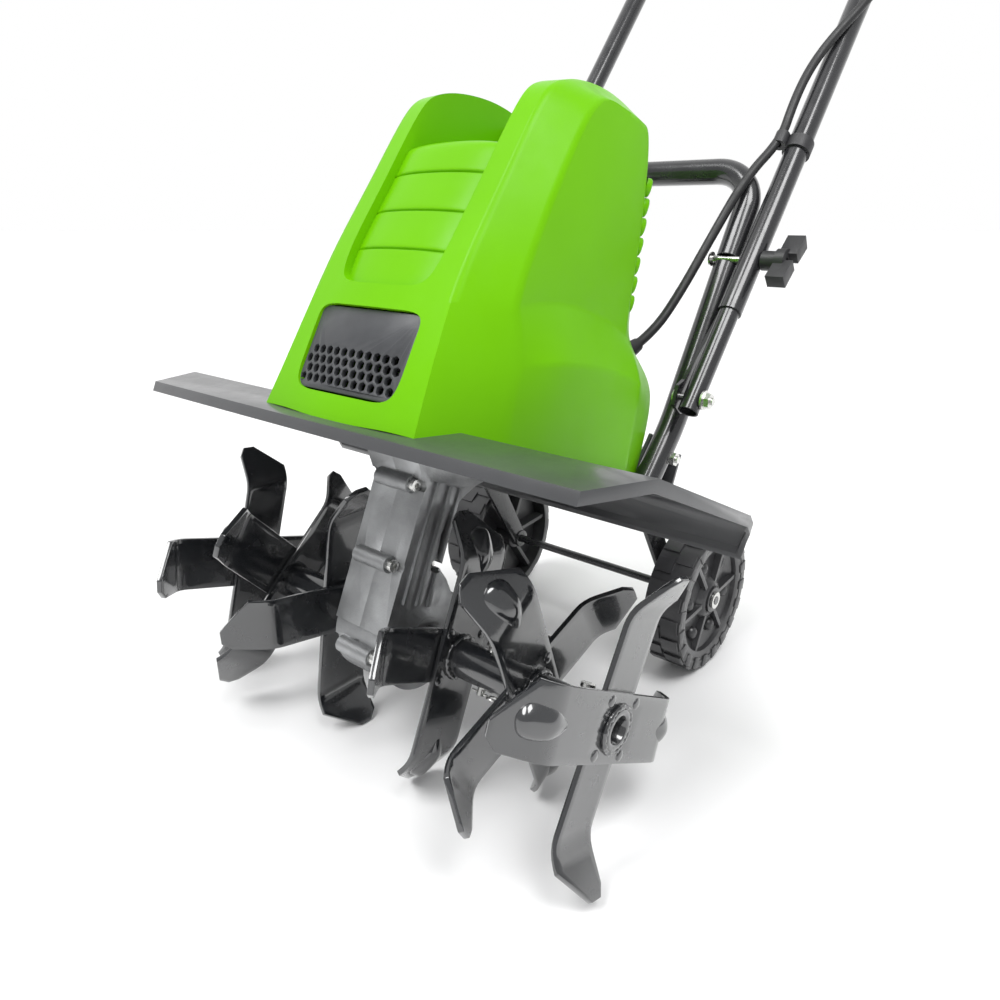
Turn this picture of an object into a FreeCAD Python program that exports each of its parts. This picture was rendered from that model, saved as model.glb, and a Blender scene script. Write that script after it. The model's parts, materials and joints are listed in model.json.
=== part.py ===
"""Electric garden tiller: motor and worm gearbox over six tine stars, hood, deck, wheels, folding handle.

Everything is modelled in the machine frame: origin at the centre of the tine shaft, +X to the
machine's left-hand side as it drives forwards, -Y forwards, +Z up along the gearbox. At the end
the whole machine is leaned back onto its wheels and set down on the ground plane Z = 0.
"""
import FreeCAD, Part
import math
import os

V = FreeCAD.Vector

# ---- driving dimensions (mm, degrees) ----
LEAN = 24.4                 # how far the parked machine leans back onto its wheels
TINE_TIP_RADIUS = 104.5
TINE_BEND_RADIUS = 76.0
TINE_BEND_SLANT = 4.0       # how much nearer the hub the bend lies at one edge of the bar
TINE_WIDTH = {"outward": 40.0, "inward": 46.0}     # of the bars, by the way that their ends bend
TINE_THICKNESS = 4.0
TINE_SPLAY = 23.0           # how far a bent tip stands off the plane of its star
STAR_X = {"inner": 62.0, "mid": 133.0, "outer": 195.0}
STAR_TURN = {               # angle of each star's outward-bent bar, from up towards the front
    "right": {"inner": 91.0, "mid": 134.0, "outer": -6.0},
    "left": {"inner": 105.0, "mid": 157.0, "outer": 8.0},
}
SHAFT_RADIUS = 9.2
HUB_BORE_RADIUS = 9.4
HUB_RADIUS = 14.0
HUB_SPLIT_X = 160.0         # where the inner hub tube ends and the outer star's hub begins

GEARBOX_HALF_WIDTH = 27.0
GEARBOX_FRONT_Y = -42.0
GEARBOX_WAIST = [(20, 36), (8, 48), (-4, 56), (-10, 67), (-12, 81), (-9, 97), (0, 111), (12, 123), (26, 132)]
GEARBOX_WALL = 5.0
GEARBOX_ROUND = 40.0        # radius of the lower end round the tine shaft
GEARBOX_TOP_Z = 147.0
WORM_Y = -24.0              # axis of the worm and of the motor above it
WORM_RADIUS = 7.0
WORM_WHEEL_RADIUS = 16.5

MOTOR_BASE_Z = 161.0
MOTOR_LENGTH = 142.0
MOTOR_RADIUS = 44.0
MOTOR_CAN_WALL = 2.5
STATOR_BORE = 27.0
ARMATURE_RADIUS = 26.0
MOTOR_SHAFT_RADIUS = 5.0

DECK_HALF_WIDTH = 226.0
DECK_FRONT_HALF_WIDTH = 208.0
DECK_FRONT_Y = -130.0
DECK_RIDGE_Y = -89.0
DECK_TOP_Z = 153.0
DECK_REAR_Y = 83.0
DECK_SHEET = 3.0
DECK_SKIRT = 8.0
PLATFORM_HALF_WIDTH = 117.0
PLATFORM_REAR_Y = 166.0
PLATFORM_RISE = 12.0

HOOD_WALL = 3.0
SCOOP_HALF_WIDTH = 45.0
SCOOP_FLOOR_Z = 352.0
SCOOP_BACK_Y = 5.0

FRAME_TUBE_RADIUS = 11.0
FRAME_LEG_X = 105.0
FRAME_FOOT = (131.0, 168.0)     # (y, z) of the frame's legs where they meet the deck
FRAME_KNEE = (147.0, 216.0)
FRAME_TOP = (176.5, 453.0)
HANDLE_TUBE_RADIUS = 10.0
HANDLE_TUBE_X = 128.5
HANDLE_ANGLE = 75.0         # of the handle tubes, from rearwards towards up
PIVOT_Y = 124.5
PIVOT_Z = 237.0
INNER_TUBE_RADIUS = 8.4
TUBE_WALL = 1.5
PIVOT_STRIP = 2.0           # thickness of the plate that carries the handle's pivot beside each leg
NOTCH_RADIUS = 3.4          # of the open-fronted notch that the locking bolt swings out of
BRACKET_BOLT = (142.0, 188.0)
DECK_BOLT = (84.0, 148.0)
COLLAR_Z = 316.0            # where the thicker upper tube starts
KNOB_Z = 366.0
HANDLE_STRAIGHT = 800.0     # from the pivot to the bend below the grip
HANDLE_GRIP_RUN = 170.0
GRIP_ANGLE = 35.0
BOX_START = 28.0            # switch box, button and lever: along the grip run and off its plane
BUTTON = (123.5, 48.0)
LEVER_HINGE = (95.0, 19.0)
BAIL_RADIUS = 4.5

WHEEL_Y = 257.2
WHEEL_Z = 79.1
WHEEL_RADIUS = 68.7
WHEEL_INNER_X = 103.0
WHEEL_WIDTH = 36.0
WHEEL_ARM_X = 94.0
AXLE_RADIUS = 4.0

CABLE_RADIUS = 4.0
SCREW_RADIUS = 2.5
CLEAR = 0.3                 # gap kept between pieces that move past each other

parts = {}


# ---- helpers ----
def unit(v):
    return V(v).normalize()


def rod(radius, start, end):
    start, end = V(*start), V(*end)
    return Part.makeCylinder(radius, (end - start).Length, start, end - start)


def tube(outer, inner, start, end):
    return rod(outer, start, end).cut(rod(inner, start, end))


def box(x0, x1, y0, y1, z0, z1):
    return Part.makeBox(x1 - x0, y1 - y0, z1 - z0, V(x0, y0, z0))


def polygon(points):
    return Part.makePolygon([V(*p) for p in points] + [V(*points[0])])


def prism(points, run):
    return Part.Face(polygon(points)).extrude(V(*run))


def side_prism(outline_yz, x0, x1):
    return prism([(x0, y, z) for y, z in outline_yz], (x1 - x0, 0, 0))


def plan_prism(outline_xy, z0, z1):
    return prism([(x, y, z0) for x, y in outline_xy], (0, 0, z1 - z0))


def mirror_x(shape):
    return shape.mirror(V(0, 0, 0), V(1, 0, 0))


def joined(shapes):
    shape = shapes[0]
    for other in shapes[1:]:
        shape = shape.fuse(other)
    return shape.removeSplitter()


def group(shapes):
    return Part.makeCompound(shapes)


def path_wire(points, radii):
    """Straight runs through the points, each corner rounded by a tangent arc of its radius."""
    pts = [V(*p) for p in points]
    edges = []
    here = pts[0]
    for corner, before, after, radius in zip(pts[1:-1], pts[:-2], pts[2:], radii):
        back, ahead = unit(before - corner), unit(after - corner)
        half = back.getAngle(ahead) / 2
        reach = radius / math.tan(half)
        start, end = corner + back * reach, corner + ahead * reach
        middle = corner + unit(back + ahead) * (radius / math.sin(half) - radius)
        edges.append(Part.LineSegment(here, start).toShape())
        edges.append(Part.Arc(start, middle, end).toShape())
        here = end
    edges.append(Part.LineSegment(here, pts[-1]).toShape())
    return Part.Wire(edges)


def swept(points, radii, radius):
    wire = path_wire(points, radii)
    start = V(*points[0])
    heading = V(*points[1]) - start
    circle = Part.Wire(Part.Circle(start, heading, radius).toShape())
    return wire.makePipeShell([circle], True, False)


def bent_tube(points, radii, outer, inner):
    return swept(points, radii, outer).cut(swept(points, radii, inner))


def socket_screw(head_at, axis, length, radius=SCREW_RADIUS):
    """A cap screw whose head sits at head_at and whose shank runs along axis."""
    at, way = V(*head_at), unit(V(*axis))
    head = Part.makeCylinder(radius * 1.8, radius * 2, at - way * radius * 2, way)
    socket = Part.makeCylinder(radius * 0.85, radius * 1.3, at - way * radius * 2, way)
    shank = Part.makeCylinder(radius, length, at, way)
    return head.cut(socket).fuse(shank)


def hex_nut(centre, axis, across, height, bore):
    way = unit(V(*axis))
    ring = Part.makeCylinder(bore, height, V(*centre), way)
    side = V(0, 1, 0) if abs(way.y) < 0.5 else V(0, 0, 1)
    other = way.cross(side)
    corner = across / math.sqrt(3)
    points = []
    for k in range(6):
        turn = math.radians(60 * k)
        points.append(V(*centre) + side * corner * math.cos(turn) + other * corner * math.sin(turn))
    body = Part.Face(Part.makePolygon(points + [points[0]])).extrude(way * height)
    return body.cut(ring)


def handle_point(along, out=0.0, x=HANDLE_TUBE_X):
    """A point on the handle's straight tube: distance from the pivot, offset to its front, x."""
    turn = math.radians(HANDLE_ANGLE)
    y = PIVOT_Y + along * math.cos(turn) - out * math.sin(turn)
    z = PIVOT_Z + along * math.sin(turn) + out * math.cos(turn)
    return (x, y, z)


def along_at(z):
    return (z - PIVOT_Z) / math.sin(math.radians(HANDLE_ANGLE))


# ---- gearbox ----
def gearbox_outline(inset):
    """Side outline of the casing: a tall column, rounded about the tine shaft at its foot."""
    r = GEARBOX_ROUND - inset
    front, top = GEARBOX_FRONT_Y + inset, GEARBOX_TOP_Z - inset
    waist = [(y - inset, z) for y, z in GEARBOX_WAIST]
    column = side_prism([(front, 0), (20 - inset, 0)] + waist + [(41 - inset, 137 - inset), (46 - inset, top),
                         (front - 14, top), (front - 14, 128), (front, 112)],
                        -GEARBOX_HALF_WIDTH + inset, GEARBOX_HALF_WIDTH - inset)
    foot = rod(r, (-GEARBOX_HALF_WIDTH + inset, 0, 0), (GEARBOX_HALF_WIDTH - inset, 0, 0))
    return column.fuse(foot)


GEARBOX_SCREWS = [(GEARBOX_FRONT_Y - 4, 112), (GEARBOX_FRONT_Y - 4, 52), (GEARBOX_FRONT_Y + 4, -18),
                  (-9, 57), (30, 30)]


def make_gearbox():
    outside = gearbox_outline(0)
    for y, z in GEARBOX_SCREWS:
        outside = outside.fuse(rod(6.5, (-17, y, z), (17, y, z)))
    flange = box(-46, 46, -62, 46, GEARBOX_TOP_Z - 5, GEARBOX_TOP_Z)
    bearing_boss = rod(19, (-31, 0, 0), (31, 0, 0))
    for sign in (-1, 1):
        dome = Part.makeCone(31, 22, 4.5, V(sign * 26, 0, 0), V(sign, 0, 0))
        bearing_boss = bearing_boss.fuse(dome)
    rib_x = GEARBOX_HALF_WIDTH + 2.5
    ribs = [box(-rib_x, rib_x, y, y + 3, 26, 118) for y in (-34, -20, -8)]
    outside = joined([outside, flange, bearing_boss] + ribs)
    cavity = gearbox_outline(GEARBOX_WALL)
    motor_mouth = rod(20, (0, WORM_Y, GEARBOX_TOP_Z - 8), (0, WORM_Y, GEARBOX_TOP_Z + 1))
    shell = outside.cut(cavity).cut(motor_mouth)
    shell = shell.cut(rod(13, (-40, 0, 0), (40, 0, 0)))
    for y, z in GEARBOX_SCREWS:
        shell = shell.cut(rod(SCREW_RADIUS, (-30, y, z), (30, y, z)))
        shell = shell.cut(group([rod(5, (side * 17, y, z), (side * 40, y, z)) for side in (-1, 1)]))
    keep_right = box(0, 80, -100, 100, -60, 200)
    parts["gearbox_right_half"] = shell.common(keep_right)
    parts["gearbox_left_half"] = shell.common(mirror_x(keep_right))
    screws = [socket_screw((17, y, z), (-1, 0, 0), 32) for y, z in GEARBOX_SCREWS]
    parts["gearbox_screws"] = group(screws)
    bearings = [tube(13, SHAFT_RADIUS + 0.05, (side * 22, 0, 0), (side * 31, 0, 0)) for side in (-1, 1)]
    parts["tine_shaft_bearings"] = group(bearings)


# ---- worm drive and motor ----
def make_worm_drive():
    wheel = tube(WORM_WHEEL_RADIUS, SHAFT_RADIUS, (-9, 0, 0), (9, 0, 0))
    hub = tube(13, SHAFT_RADIUS, (-19, 0, 0), (19, 0, 0))
    teeth = 24
    gap = box(-10, 10, -0.9, 0.9, WORM_WHEEL_RADIUS - 2.4, WORM_WHEEL_RADIUS + 1)
    gaps = []
    for k in range(teeth):
        cutter = gap.copy()
        cutter.rotate(V(0, 0, 0), V(1, 0, 0), 360.0 * k / teeth)
        gaps.append(cutter)
    parts["worm_wheel"] = wheel.cut(group(gaps)).fuse(hub).removeSplitter()

    worm = rod(4.6, (0, WORM_Y, -18), (0, WORM_Y, 128))
    rings = [rod(WORM_RADIUS, (0, WORM_Y, z - 1.1), (0, WORM_Y, z + 1.1)) for z in range(-12, 17, 4)]
    parts["worm_shaft"] = joined([worm] + rings)


def make_motor():
    base, top = MOTOR_BASE_Z, MOTOR_BASE_Z + MOTOR_LENGTH
    axis = lambda z: (0, WORM_Y, z)
    can = tube(MOTOR_RADIUS, MOTOR_RADIUS - MOTOR_CAN_WALL, axis(base + 5), axis(top - 30))
    floor = tube(MOTOR_RADIUS, 13, axis(base), axis(base + 5))
    parts["motor_can"] = can.fuse(floor)
    stator = tube(MOTOR_RADIUS - MOTOR_CAN_WALL, STATOR_BORE, axis(base + 34), axis(base + 94))
    slots = []
    for k in range(6):
        turn = math.radians(30 + 60 * k)
        x, y = 34 * math.cos(turn), WORM_Y + 34 * math.sin(turn)
        slots.append(rod(4, (x, y, base + 30), (x, y, base + 100)))
    parts["motor_stator"] = stator.cut(group(slots))
    arms = [box(-MOTOR_RADIUS + 1, MOTOR_RADIUS - 1, WORM_Y - 7, WORM_Y + 7, top - 6, top),
            box(-7, 7, WORM_Y - MOTOR_RADIUS + 1, WORM_Y + MOTOR_RADIUS - 1, top - 6, top)]
    rim = tube(MOTOR_RADIUS, MOTOR_RADIUS - 4, axis(top - 30), axis(top))
    cup = rod(15, axis(top - 12), axis(top))
    cap = joined([rim, cup] + arms).cut(rod(11, axis(top - 13), axis(top - 3)))
    parts["motor_end_bracket"] = cap
    parts["motor_bearings"] = group([
        tube(13, MOTOR_SHAFT_RADIUS + 0.05, axis(base - 4), axis(base + 5)),
        tube(11, MOTOR_SHAFT_RADIUS + 0.05, axis(top - 10), axis(top - 3)),
    ])
    brushes = []
    for side in (-1, 1):
        near, far = side * 15.5, side * (MOTOR_RADIUS - 5)
        brushes.append(box(min(near, far), max(near, far), WORM_Y - 6, WORM_Y + 6, top - 28, top - 14))
    parts["brush_holders"] = group(brushes)

    shaft = rod(MOTOR_SHAFT_RADIUS, axis(128), axis(top - 4))
    core = tube(ARMATURE_RADIUS, MOTOR_SHAFT_RADIUS, axis(base + 36), axis(base + 92))
    slots = []
    for k in range(12):
        x, y = 25 * math.cos(math.pi * k / 6), WORM_Y + 25 * math.sin(math.pi * k / 6)
        slots.append(rod(2.2, (x, y, base + 30), (x, y, base + 98)))
    windings = [tube(20, MOTOR_SHAFT_RADIUS, axis(base + 92), axis(base + 103)),
                tube(20, MOTOR_SHAFT_RADIUS, axis(base + 26), axis(base + 36))]
    commutator = tube(14, MOTOR_SHAFT_RADIUS, axis(base + 108), axis(base + 126))
    parts["armature"] = joined([shaft, core.cut(group(slots)), commutator] + windings)
    disc = tube(36, MOTOR_SHAFT_RADIUS, axis(base + 8), axis(base + 10))
    collar = tube(9, MOTOR_SHAFT_RADIUS, axis(base + 8), axis(base + 22))
    blades = []
    for k in range(12):
        blade = box(7.5, 35, WORM_Y - 0.8, WORM_Y + 0.8, base + 10, base + 21)
        blade.rotate(V(0, WORM_Y, 0), V(0, 0, 1), 30 * k)
        blades.append(blade)
    parts["cooling_fan"] = joined([disc, collar] + blades)


# ---- tines ----
def tine_bar(outward):
    """One bar of a star, lying along Z in the plane X = 0, both ends bent to the same side.

    Each end keeps its full width a little past the bend, then one corner is cut away so that
    the tip is narrow.
    """
    half, t = TINE_WIDTH["outward" if outward else "inward"] / 2, TINE_THICKNESS
    splay = TINE_SPLAY if outward else -TINE_SPLAY
    slant = TINE_BEND_SLANT
    reach = TINE_TIP_RADIUS - TINE_BEND_RADIUS + 0.3

    def bent(across, share):
        """A point on the bent end: across the bar, and how far from the bend to the tip."""
        return (splay * share, across, TINE_BEND_RADIUS + slant * across / half + reach * share)

    end = [bent(-half, 0), bent(half, 0), bent(half, 0.36), bent(-6, 1), bent(-16, 1), bent(-half, 0.8)]
    tip = prism(end, (t, 0, 0))
    other = tip.copy()
    other.rotate(V(0, 0, 0), V(1, 0, 0), 180)
    flat = prism([bent(-half, 0), bent(half, 0), (0, half, -TINE_BEND_RADIUS + slant),
                  (0, -half, -TINE_BEND_RADIUS - slant)], (t, 0, 0))
    return joined([flat, tip, other])


def tine_star(side, place):
    """Two crossed bars: the ends of one bend away from the gearbox, those of the other towards it."""
    x = STAR_X[place]
    hole = rod(HUB_RADIUS, (-20, 0, 0), (20, 0, 0))
    out_bar = tine_bar(True)
    in_bar = tine_bar(False)
    in_bar.translate(V(TINE_THICKNESS, 0, 0))
    in_bar.rotate(V(0, 0, 0), V(1, 0, 0), 90)
    star = out_bar.fuse(in_bar).cut(hole)
    star.rotate(V(0, 0, 0), V(1, 0, 0), STAR_TURN[side][place])
    star.translate(V(x - TINE_THICKNESS, 0, 0))
    return star if side == "right" else mirror_x(star)


def make_tines():
    end = STAR_X["outer"] + 2
    parts["tine_shaft"] = rod(SHAFT_RADIUS, (-end, 0, 0), (end, 0, 0))
    for side, sign in (("right", 1), ("left", -1)):
        hub = tube(HUB_RADIUS, HUB_BORE_RADIUS, (sign * 33, 0, 0), (sign * HUB_SPLIT_X, 0, 0))
        hub = hub.cut(rod(3.1, (sign * 92, 0, -20), (sign * 92, 0, 20)))
        parts["inner_hub_tube_" + side] = hub
        for place in STAR_X:
            star = tine_star(side, place)
            if place == "outer":
                stub = tube(HUB_RADIUS, HUB_BORE_RADIUS, (sign * (HUB_SPLIT_X + 0.5), 0, 0),
                            (sign * (STAR_X["outer"] + 6.5), 0, 0))
                weld = Part.makeTorus(HUB_RADIUS, 1.8, V(sign * (STAR_X["outer"] + 3.5), 0, 0), V(1, 0, 0))
                stub = stub.cut(rod(3.1, (sign * 172, 0, -20), (sign * 172, 0, 20)))
                ring = tube(HUB_RADIUS + 2, HUB_RADIUS, (sign * (STAR_X["outer"] + 3), 0, 0),
                            (sign * (STAR_X["outer"] + 5.5), 0, 0))
                star = joined([star, stub, ring])
            parts["tine_star_%s_%s" % (place, side)] = star
    pins, clips = [], []
    for x in (-172, -92, 92, 172):
        pin = rod(3, (x, 0, -19), (x, 0, 17)).fuse(rod(5, (x, 0, 17), (x, 0, 20)))
        wire = rod(0.9, (x - 8, 0, -17.6), (x + 8, 0, -17.6))
        loop = Part.makeTorus(4.6, 0.9, V(x + 11.5, 0, -17.6), V(0, 0, 1))
        pins.append(pin.cut(wire))
        clips.append(wire.fuse(loop))
    parts["hub_pins"] = group(pins)
    parts["hub_pin_clips"] = group(clips)
    shaft = parts["tine_shaft"]
    for x in (-172, -92, 92, 172):
        shaft = shaft.cut(rod(3, (x, 0, -20), (x, 0, 20)))
    parts["tine_shaft"] = shaft


# ---- deck ----
def deck_profile(lower):
    """Top line of the deck in side view, from front edge to rear edge, lowered by an amount."""
    return [(DECK_FRONT_Y, 135.5 - lower), (DECK_RIDGE_Y, DECK_TOP_Z - lower), (52, DECK_TOP_Z - lower),
            (72, 143 - lower), (DECK_REAR_Y, 131 - lower)]


def deck_plan(inset):
    wide, front = DECK_HALF_WIDTH - inset, DECK_FRONT_HALF_WIDTH - inset
    right = [(front, DECK_FRONT_Y + inset), (wide, DECK_RIDGE_Y + inset * 0.4),
             (wide, 60), (wide - 10, DECK_REAR_Y - inset)]
    return right + [(-x, y) for x, y in reversed(right)]


def deck_body(lower, inset, depth):
    line = deck_profile(lower)
    under = [(y, z - depth) for y, z in reversed(line)]
    slab = side_prism(line + under, -DECK_HALF_WIDTH, DECK_HALF_WIDTH)
    return slab.common(plan_prism(deck_plan(inset), 60, 200))


def make_deck():
    pan = deck_body(0, 0, DECK_SKIRT).cut(deck_body(DECK_SHEET, DECK_SHEET, DECK_SKIRT + 2))
    wide = PLATFORM_HALF_WIDTH
    raised = DECK_TOP_Z + PLATFORM_RISE
    platform = side_prism([(-58, DECK_TOP_Z), (118, raised), (PLATFORM_REAR_Y, raised),
                           (PLATFORM_REAR_Y, DECK_TOP_Z - 6), (50, DECK_TOP_Z - 6),
                           (46, DECK_TOP_Z - 2.9)], -wide, wide)
    hollow = side_prism([(54, DECK_TOP_Z - 7), (54, DECK_TOP_Z + 4), (118, raised - 3),
                         (PLATFORM_REAR_Y - 3, raised - 3),
                         (PLATFORM_REAR_Y - 3, DECK_TOP_Z - 7)], -wide + 3, wide - 3)
    deck = joined([pan, platform]).cut(hollow)
    deck = deck.cut(rod(22, (0, WORM_Y, 130), (0, WORM_Y, 180)))
    pad = tube(32, 22, (0, WORM_Y, GEARBOX_TOP_Z), (0, WORM_Y, MOTOR_BASE_Z))
    deck = joined([deck, pad])
    spots = [(-40, -52), (40, -52), (-40, 36), (40, 36)]
    for x, y in spots:
        deck = deck.cut(rod(2.5, (x, y, 120), (x, y, 168)))
        deck = deck.cut(rod(5.5, (x, y, GEARBOX_TOP_Z + 8), (x, y, 180)))
    screws = []
    for x, y in spots:
        screws.append(socket_screw((x, y, GEARBOX_TOP_Z + 8), (0, 0, -1), 13, 2.5))
        for half in ("gearbox_right_half", "gearbox_left_half"):
            parts[half] = parts[half].cut(rod(2.5, (x, y, 130), (x, y, 160)))
    parts["deck"] = deck
    parts["deck_screws"] = group(screws)


# ---- hood ----
# Half outlines at each height: crease of the front face, facet edge, widest point, rear corner, rear face.
HOOD_RINGS = [
    (138, -122, (76, -117), (100, -60), (107, -20), (107, 74), (96, 124), 132),
    (183, -117, (71, -112), (99, -62), (107, -20), (106, 72), (95, 119), 127),
    (206, -114, (69, -110), (97, -64), (105, -30), (105, 72), (94, 116), 124),
    (232, -110, (67.5, -106.5), (92, -68), (99, -30), (103, 70), (93, 110), 118),
    (262, -105, (66, -102), (88, -72), (89, -30), (88, 62), (82, 88), 94),
    (323, -90, (64, -87), (86, -63), (87, -25), (86, 44), (79, 66), 72),
    (372, -81, (64, -79), (84, -50), (85, -20), (84, 32), (76, 50), 55),
    (402, -62, (62, -60), (78, -36), (80, -15), (79, 24), (72, 42), 47),
    (420, -26, (58, -24), (68, -14), (70, -4), (70, 18), (66, 38), 42),
    (428, 6, (52, 7), (58, 9), (60, 14), (60, 24), (58, 34), 37),
]


def hood_ring(spec, inset):
    z, front, *mid, rear = spec
    right = []
    for x, y in mid:
        scale = 1 - inset / 85.0
        right.append(V(x - inset, y + inset * (-1 if y > 20 else 1) * (0.35 if abs(y) < 40 else 1.0), z))
    points = [V(0, front + inset, z)] + right + [V(0, rear - inset, z)]
    points += [V(-p.x, p.y, p.z) for p in reversed(right)]
    return Part.makePolygon(points + [points[0]])


def hood_solid(inset):
    rings = [hood_ring(spec, inset) for spec in HOOD_RINGS]
    if inset:
        rings = rings[:-1]
    return Part.makeLoft(rings, True, True)


def make_hood():
    shell = hood_solid(0).cut(hood_solid(HOOD_WALL))
    raised = DECK_TOP_Z + PLATFORM_RISE + 0.4
    under = side_prism([(-150, 100), (-150, 126), (DECK_FRONT_Y, 136), (DECK_RIDGE_Y, DECK_TOP_Z + 0.5),
                        (-58, DECK_TOP_Z + 0.5), (118, raised), (160, raised), (160, 100)], -150, 150)
    scoop_outline = [(-120, SCOOP_FLOOR_Z), (SCOOP_BACK_Y, SCOOP_FLOOR_Z + 12), (SCOOP_BACK_Y, 416),
                     (60, 419), (60, 440), (-120, 440)]
    scoop = side_prism(scoop_outline, -SCOOP_HALF_WIDTH, SCOOP_HALF_WIDTH)
    lining_outline = [(-120, SCOOP_FLOOR_Z - 3), (SCOOP_BACK_Y + 3, SCOOP_FLOOR_Z + 9),
                      (SCOOP_BACK_Y + 3, 413), (60, 416), (60, 440), (-120, 440)]
    lining = side_prism(lining_outline, -SCOOP_HALF_WIDTH - 3, SCOOP_HALF_WIDTH + 3).common(hood_solid(0))
    shell = shell.fuse(lining).cut(scoop)
    recess = side_prism([(-125, 236), (-103.5, 236), (-84.5, 323), (-78, SCOOP_FLOOR_Z + 1),
                         (-125, SCOOP_FLOOR_Z + 1)], -SCOOP_HALF_WIDTH, SCOOP_HALF_WIDTH)
    backing = side_prism([(-125, 233), (-100.5, 233), (-81.5, 323), (-75, SCOOP_FLOOR_Z + 1),
                          (-125, SCOOP_FLOOR_Z + 1)], -SCOOP_HALF_WIDTH - 3, SCOOP_HALF_WIDTH + 3)
    shell = shell.fuse(backing.common(hood_solid(0))).cut(recess)
    window = box(-50, 50, -130, -95, 158, 219)
    shell = shell.cut(window).cut(under)
    rear_hole = box(-62, 62, 30, 140, 285, 388)
    shell = shell.cut(rear_hole.cut(box(-70, 70, 0, 140, 388, 400)))
    gland_hole = rod(7, (74, 60, 262), (74, 130, 262))
    parts["hood"] = shell.cut(gland_hole)

    frame = prism([(-49.5, -117, 158.5), (49.5, -117, 158.5), (49.5, -117, 218.5), (-49.5, -117, 218.5)],
                  (0, 12, 0))
    skin = side_prism([(-113.5, 158), (-107.5, 219), (-103.5, 219), (-109.5, 158)], -60, 60)
    grille = frame.common(skin)
    holes = []
    for row in range(4):
        for column in range(12):
            x = -45 + column * 8.0 + (4.0 if row % 2 else 0.0)
            if abs(x) > 45:
                continue
            z = 165.5 + row * 6.9
            points = [(x + 3.4 * math.cos(math.radians(30 + 60 * k)), -125,
                       z + 3.4 * math.sin(math.radians(30 + 60 * k))) for k in range(6)]
            holes.append(prism(points, (0, 30, 0)))
    parts["vent_grille"] = grille.cut(group(holes))

    def back_y(z, out):
        return 73.5 - (z - 323) * 0.345 + out
    plate = side_prism([(back_y(284, 0), 284), (back_y(284, 2.5), 284), (back_y(389, 2.5), 389),
                        (back_y(389, 0), 389)], -68, 68)
    slats = []
    for k in range(7):
        z = 296 + k * 14
        slats.append(side_prism([(back_y(z, 1), z), (back_y(z, 7.5), z + 1), (back_y(z + 8, 5), z + 8),
                                 (back_y(z + 9, 1), z + 9)], -66, 66))
    parts["rear_vent_cover"] = joined([plate] + slats)
    feet = [(-88, 20), (88, 20), (-60, 108), (60, 108)]
    screws = []
    for x, y in feet:
        seat = DECK_TOP_Z + PLATFORM_RISE * (y + 58) / 176.0
        screws.append(socket_screw((x, y, seat + 5), (0, 0, -1), 9, 2.0))
        lug = tube(6, 2.0, (x, y, seat + 0.5), (x, y, seat + 5))
        bridge = box(min(x, x * 1.22), max(x, x * 1.22), y - 4, y + 4, seat + 0.6, seat + 4.5)
        reach = bridge if y < 50 else box(x - 4, x + 4, y, y + 21, seat + 2, seat + 5)
        lug_solid = lug.fuse(reach.cut(rod(6, (x, y, seat), (x, y, seat + 6))))
        lug_solid = lug_solid.cut(under)
        parts["hood"] = parts["hood"].fuse(lug_solid.common(hood_solid(0)))
        parts["deck"] = parts["deck"].cut(rod(2.0, (x, y, seat - 10), (x, y, seat + 5)))
    parts["hood_screws"] = group(screws)


# ---- frame, wheels ----
def knob_spot():
    """(y, z) of the bolt that locks the handle to the frame."""
    return handle_point(along_at(KNOB_Z))[1:]


def make_lower_frame():
    x, foot = FRAME_LEG_X, (FRAME_FOOT[0] - 4, FRAME_FOOT[1] - 12)
    route = [(-x, *foot), (-x, *FRAME_KNEE), (-x, *FRAME_TOP),
             (x, *FRAME_TOP), (x, *FRAME_KNEE), (x, *foot)]
    frame = bent_tube(route, [150, 38, 38, 150], FRAME_TUBE_RADIUS, FRAME_TUBE_RADIUS - TUBE_WALL)
    top = DECK_TOP_Z + PLATFORM_RISE
    frame = frame.cut(box(-200, 200, 100, 200, 100, top + 2.5))
    y, z = knob_spot()
    notch = Part.makeBox(400, 30, 2 * NOTCH_RADIUS, V(-200, -30, -NOTCH_RADIUS))
    notch.rotate(V(0, 0, 0), V(1, 0, 0), HANDLE_ANGLE - 90)
    notch.translate(V(0, y, z))
    notch = notch.fuse(rod(NOTCH_RADIUS, (-200, y, z), (200, y, z)))
    frame = frame.cut(notch)
    plate = [(PIVOT_Y - 9, PIVOT_Z - 9), (PIVOT_Y + 6, PIVOT_Z - 13), (158, 236), (167, 306), (152, 314),
             (PIVOT_Y - 2, PIVOT_Z + 14), (PIVOT_Y - 10, PIVOT_Z + 7)]
    for sign in (-1, 1):
        outer = sign * (x + FRAME_TUBE_RADIUS)
        strip = side_prism(plate, outer - sign * 1, outer + sign * PIVOT_STRIP)
        frame = frame.fuse(strip)
    y, z = BRACKET_BOLT
    frame = frame.cut(rod(3, (-200, y, z), (200, y, z)))
    parts["lower_frame"] = frame.cut(rod(3, (-200, PIVOT_Y, PIVOT_Z), (200, PIVOT_Y, PIVOT_Z)))


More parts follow.
